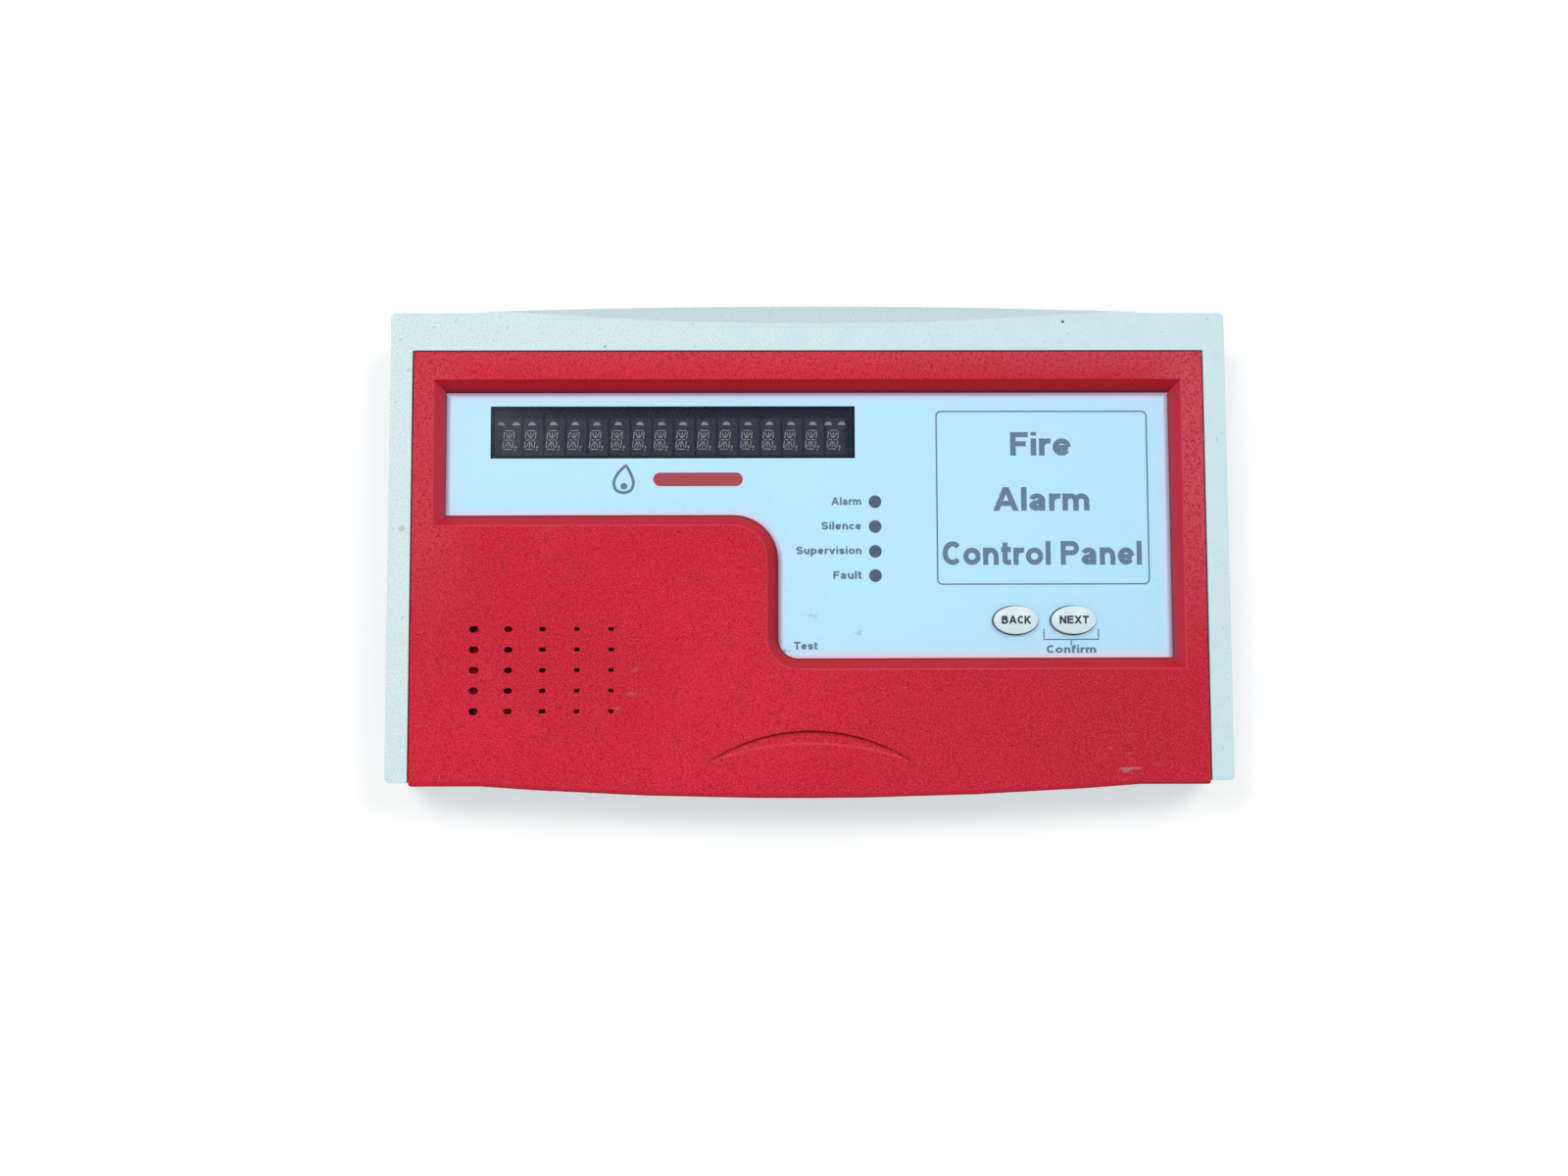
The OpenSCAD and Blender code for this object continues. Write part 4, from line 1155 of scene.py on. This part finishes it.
(label_left, label_right), (_, label_top), (_, label_front) = extent("label_overlay")
INK_DEPTHS = (label_front - 0.005, label_front + 0.02)

# Small print: the height of its capitals, and its pen's width as a share of that height
CAPITAL = 1.95
WEIGHT = 0.235


def print_on_label(drawing, name, ink_colour=PRINT_GREY):
    drawing.piece(f"label_{name}", INK_DEPTHS, "printed_label", ink_colour)


def title():
    """Three lines of large words in a panel set in from the label's upper right corner."""
    left, right = label_right - 57.6, label_right - 5.4
    bottom, top = label_top - 47.7, label_top - 4.7
    centre = (left + right) / 2 - 0.25
    lines = Drawing()
    rows = (("Fire", 15.1, 22.4), ("Alarm", 23.8, 8.65), ("Control Panel", 49.2, -4.8))
    for text, width, base in rows:
        lines.words(text, centre - width / 2, centre + width / 2, base, 5.9, 0.215)
    print_on_label(lines, "title")
    border = Drawing()
    border.stroke(round_corners(left, right, bottom, top, 1.2), 0.36, closed=True)
    print_on_label(border, "title_border")


def light_names():
    """A name to the left of each status light."""
    (lights_left, lights_right), (lowest, highest), _ = extent("status_lenses")
    radius = (lights_right - lights_left) / 2
    first = highest - radius
    pitch = (highest - lowest - 2 * radius) / 3
    end = middle((lights_left, lights_right)) - 3.4
    names = Drawing()
    for row, (text, width) in enumerate(
        (("Alarm", 7.4), ("Silence", 9.9), ("Supervision", 16.1), ("Fault", 7.0))
    ):
        names.words(text, end - width, end, first - row * pitch - 0.8, CAPITAL, WEIGHT)
    print_on_label(names, "light_names")


def key_name():
    """A bracket under the right-hand key, and its second function."""
    key_span, (key_bottom, _), _ = extent("next_key")
    centre = middle(key_span) - 0.45
    left, right = centre - 6.7, centre + 6.7
    top = key_bottom + 2.3
    foot = top - 2.6
    drawn = Drawing()
    drawn.stroke([(left, top), (left, foot), (right, foot), (right, top)], 0.3)
    drawn.stroke([(centre, foot), (centre, foot - 1.5)], 0.3)
    drawn.words("Confirm", centre - 6.1, centre + 6.1, foot - 3.35, CAPITAL, WEIGHT)
    drawn.words("Test", label_left + 85.6, label_left + 91.4, foot - 2.35, CAPITAL, WEIGHT)
    print_on_label(drawn, "key_names")


def pictogram():
    """A plain flame and a plain bar, under the display."""
    (window_left, _), (window_bottom, _), _ = extent("display_lens")
    x = window_left + 32.7
    z = window_bottom - 5.4
    outline = []
    for i in range(20):
        turn = 2 * math.pi * i / 20
        rise = math.sin(turn)
        above = max(0.0, rise)
        reach = 2.7 * (1 - 0.10 * math.cos(turn * 2)) * (1 - 0.72 * above**1.5)
        lean = 0.55 * above**2
        tall = 4.1 if rise > 0 else 2.6
        outline.append((x + reach * math.cos(turn) + lean, z - 0.7 + rise * tall))
    flame = Drawing()
    flame.stroke(outline, 0.72, closed=True)
    flame.disc(x + 0.1, z - 1.7, 0.85, 16)
    print_on_label(flame, "flame")
    bar = Drawing()
    bar.polygon(round_corners(x + 7.3, x + 29.4, z - 1.7, z + 1.7, 1.7))
    print_on_label(bar, "bar", PRINT_RED)


title()
light_names()
key_name()
pictogram()

# ---------------------------------------------------------------- display

GRID_COUNT = 16
GRID_PITCH = 5.39
SEGMENT_W = 2.45
SEGMENT_H = 4.7
SEGMENT_LINE = 0.21
SLANT = math.tan(math.radians(6))

# The fourteen strokes of a character, on a grid of -1 to 1 each way
STROKES = [((-0.8, side), (0.8, side)) for side in (1, -1)]
for side in (-1, 1):
    STROKES += [((side, 0.12), (side, 0.88)), ((side, -0.88), (side, -0.12))]
    STROKES += [((side * 0.14, 0), (side * 0.82, 0)), ((0, side * 0.16), (0, side * 0.82))]
    STROKES += [((side * 0.68, y), (side * 0.22, y / 4)) for y in (0.80, -0.80)]


def display():
    """Unlit phosphor segments of the characters, and the pale tabs above them."""
    x_span, _, (_, grid_front) = extent("vfd_grids")
    _, (window_bottom, _), _ = extent("display_lens")
    depths = (grid_front + 0.02, grid_front + 0.08)
    first = middle(x_span) - (GRID_COUNT - 1) / 2 * GRID_PITCH - 0.75
    columns = [first + i * GRID_PITCH for i in range(GRID_COUNT)]
    z = window_bottom + 5.2
    drawn = Drawing()
    for x in columns:
        for ends in STROKES:
            upright = [(across * SEGMENT_W / 2, up * SEGMENT_H / 2) for across, up in ends]
            drawn.stroke([(x + a + b * SLANT, z + b) for a, b in upright], SEGMENT_LINE)
        drawn.disc(x + 1.75, z - 1.75, 0.26, 10)
        drawn.stroke([(x + 1.80, z - 2.25), (x + 1.45, z - 2.7)], 0.22)
    drawn.piece("display_segments", depths, "display_metal", SEGMENT)

    tabs = Drawing()
    places = [first - 2.0, first + 1.9, columns[-1] - 1.1, columns[-1] + 2.3]
    places += [x + 0.4 for x in columns[1:-1]]
    for x in places:
        tabs.polygon(arc(x, z + 3.7, 0.95, 0.85, 0, 180, 20))
    for x in columns:
        tabs.stroke([(x - 2.3, window_bottom + 0.25), (x + 1.3, window_bottom + 0.25)], 0.2)
    tabs.piece("display_tabs", depths, "display_metal", SEGMENT)


display()

# ---------------------------------------------------------------- lettering on the keys


def key_letters(key, text):
    """Raised letters that follow the dome of a key."""
    _, _, (_, key_top) = extent(key)
    x0, z0 = centre_of(key)
    dome = 16.0

    def fall(x, z):
        return math.sqrt(dome * dome - (x - x0) ** 2 - (z - z0) ** 2) - dome

    letters = Drawing()
    letters.words(text, x0 - 3.6, x0 + 3.6, z0 - 0.98, CAPITAL, 0.225)
    depths = (key_top - 0.08, key_top + 0.045)
    letters.piece(f"{key}_letters", depths, "key_plastic", PRINT_DARK, key, fall)


key_letters("prev_key", "BACK")
key_letters("next_key", "NEXT")

# ---------------------------------------------------------------- stage, lights and camera


def stage_material(name, base, glow):
    """Pale matt surface, seen from its front only, with a little glow of its own."""
    look = Finish(name, roughness=0.9, Specular_IOR_Level=0.0)
    look.put("Base Color", look.mix(look.noise(300, 1.0), tint(base, 0.995), base))
    look.put("Emission Color", (1, 1, 1, 1))
    look.put("Emission Strength", glow)
    behind = look.node("ShaderNodeNewGeometry").outputs["Backfacing"]
    clear = look.node("ShaderNodeBsdfTransparent").outputs[0]
    either = look.node("ShaderNodeMixShader", {0: behind, 1: look.shader.outputs[0], 2: clear})
    look.feed(look.tree.nodes["Material Output"].inputs["Surface"], either.outputs[0])
    return look.material


def stage_plane(name, size, place, turn, material):
    """A large square that isn't part of the object and lets light through from behind."""
    mesh = bpy.data.meshes.new(name)
    half = size / 2
    mesh.from_pydata(
        [(-half, -half, 0), (half, -half, 0), (half, half, 0), (-half, half, 0)], [], [(0, 1, 2, 3)]
    )
    plane = bpy.data.objects.new(name, mesh)
    plane.rotation_euler = turn
    plane.location = place
    bpy.context.scene.collection.objects.link(plane)
    dress(plane, material)
    for rays in ("shadow", "diffuse", "glossy", "transmission"):
        setattr(plane, f"visible_{rays}", False)


def area_light(name, place, aim, size, power):
    light = bpy.data.lights.new(name, "AREA")
    light.shape = "DISK"
    light.size = size
    light.energy = power
    lamp = bpy.data.objects.new(name, light)
    lamp.location = place
    lamp.rotation_euler = (Vector(aim) - Vector(place)).to_track_quat("-Z", "Y").to_euler()
    bpy.context.scene.collection.objects.link(lamp)


def studio():
    """A wall behind the object, a floor below it, a pale world and two soft lamps in front."""
    paper = stage_material("backdrop_paper", (0.93, 0.93, 0.93), 0.12)
    stage_plane("backdrop", 6.0, (0, 0.0004, 0), (math.pi / 2, 0, 0), paper)
    stage_plane("floor", 6.0, (0, 0, cad_box[0].z - 0.3), (0, 0, 0), paper)
    world = bpy.data.worlds.new("studio")
    world.use_nodes = True
    bpy.context.scene.world = world
    sky = world.node_tree.nodes["Background"]
    sky.inputs["Color"].default_value = (1.0, 1.0, 1.0, 1)
    sky.inputs["Strength"].default_value = 0.74
    area_light("lamp_left", (-0.50, -1.34, 0.34), (0, 0, 0), 0.44, 4.3)
    area_light("lamp_right", (0.55, -1.30, 0.38), (0, 0, 0), 0.44, 3.4)
    bpy.context.scene.view_settings.view_transform = "Standard"


def camera():
    """Where the photographer stood: close in front, a little below and left of the middle."""
    aim = (-0.0063, -0.025, -0.0106)
    distance = 0.45
    azimuth, elevation, roll = (math.radians(a) for a in (-0.74, -4.96, -0.20))
    turn = Matrix.Rotation(azimuth, 4, "Z") @ Matrix.Rotation(math.pi / 2 - elevation, 4, "X")
    turn @= Matrix.Rotation(roll, 4, "Z")
    lens = bpy.data.cameras.new("camera")
    lens.sensor_width = 36
    lens.lens = 42.3
    lens.clip_start = 0.01
    eye = bpy.data.objects.new("camera", lens)
    eye.matrix_world = Matrix.Translation(aim) @ turn @ Matrix.Translation((0, 0, distance))
    bpy.context.scene.collection.objects.link(eye)
    bpy.context.scene.camera = eye


studio()
camera()
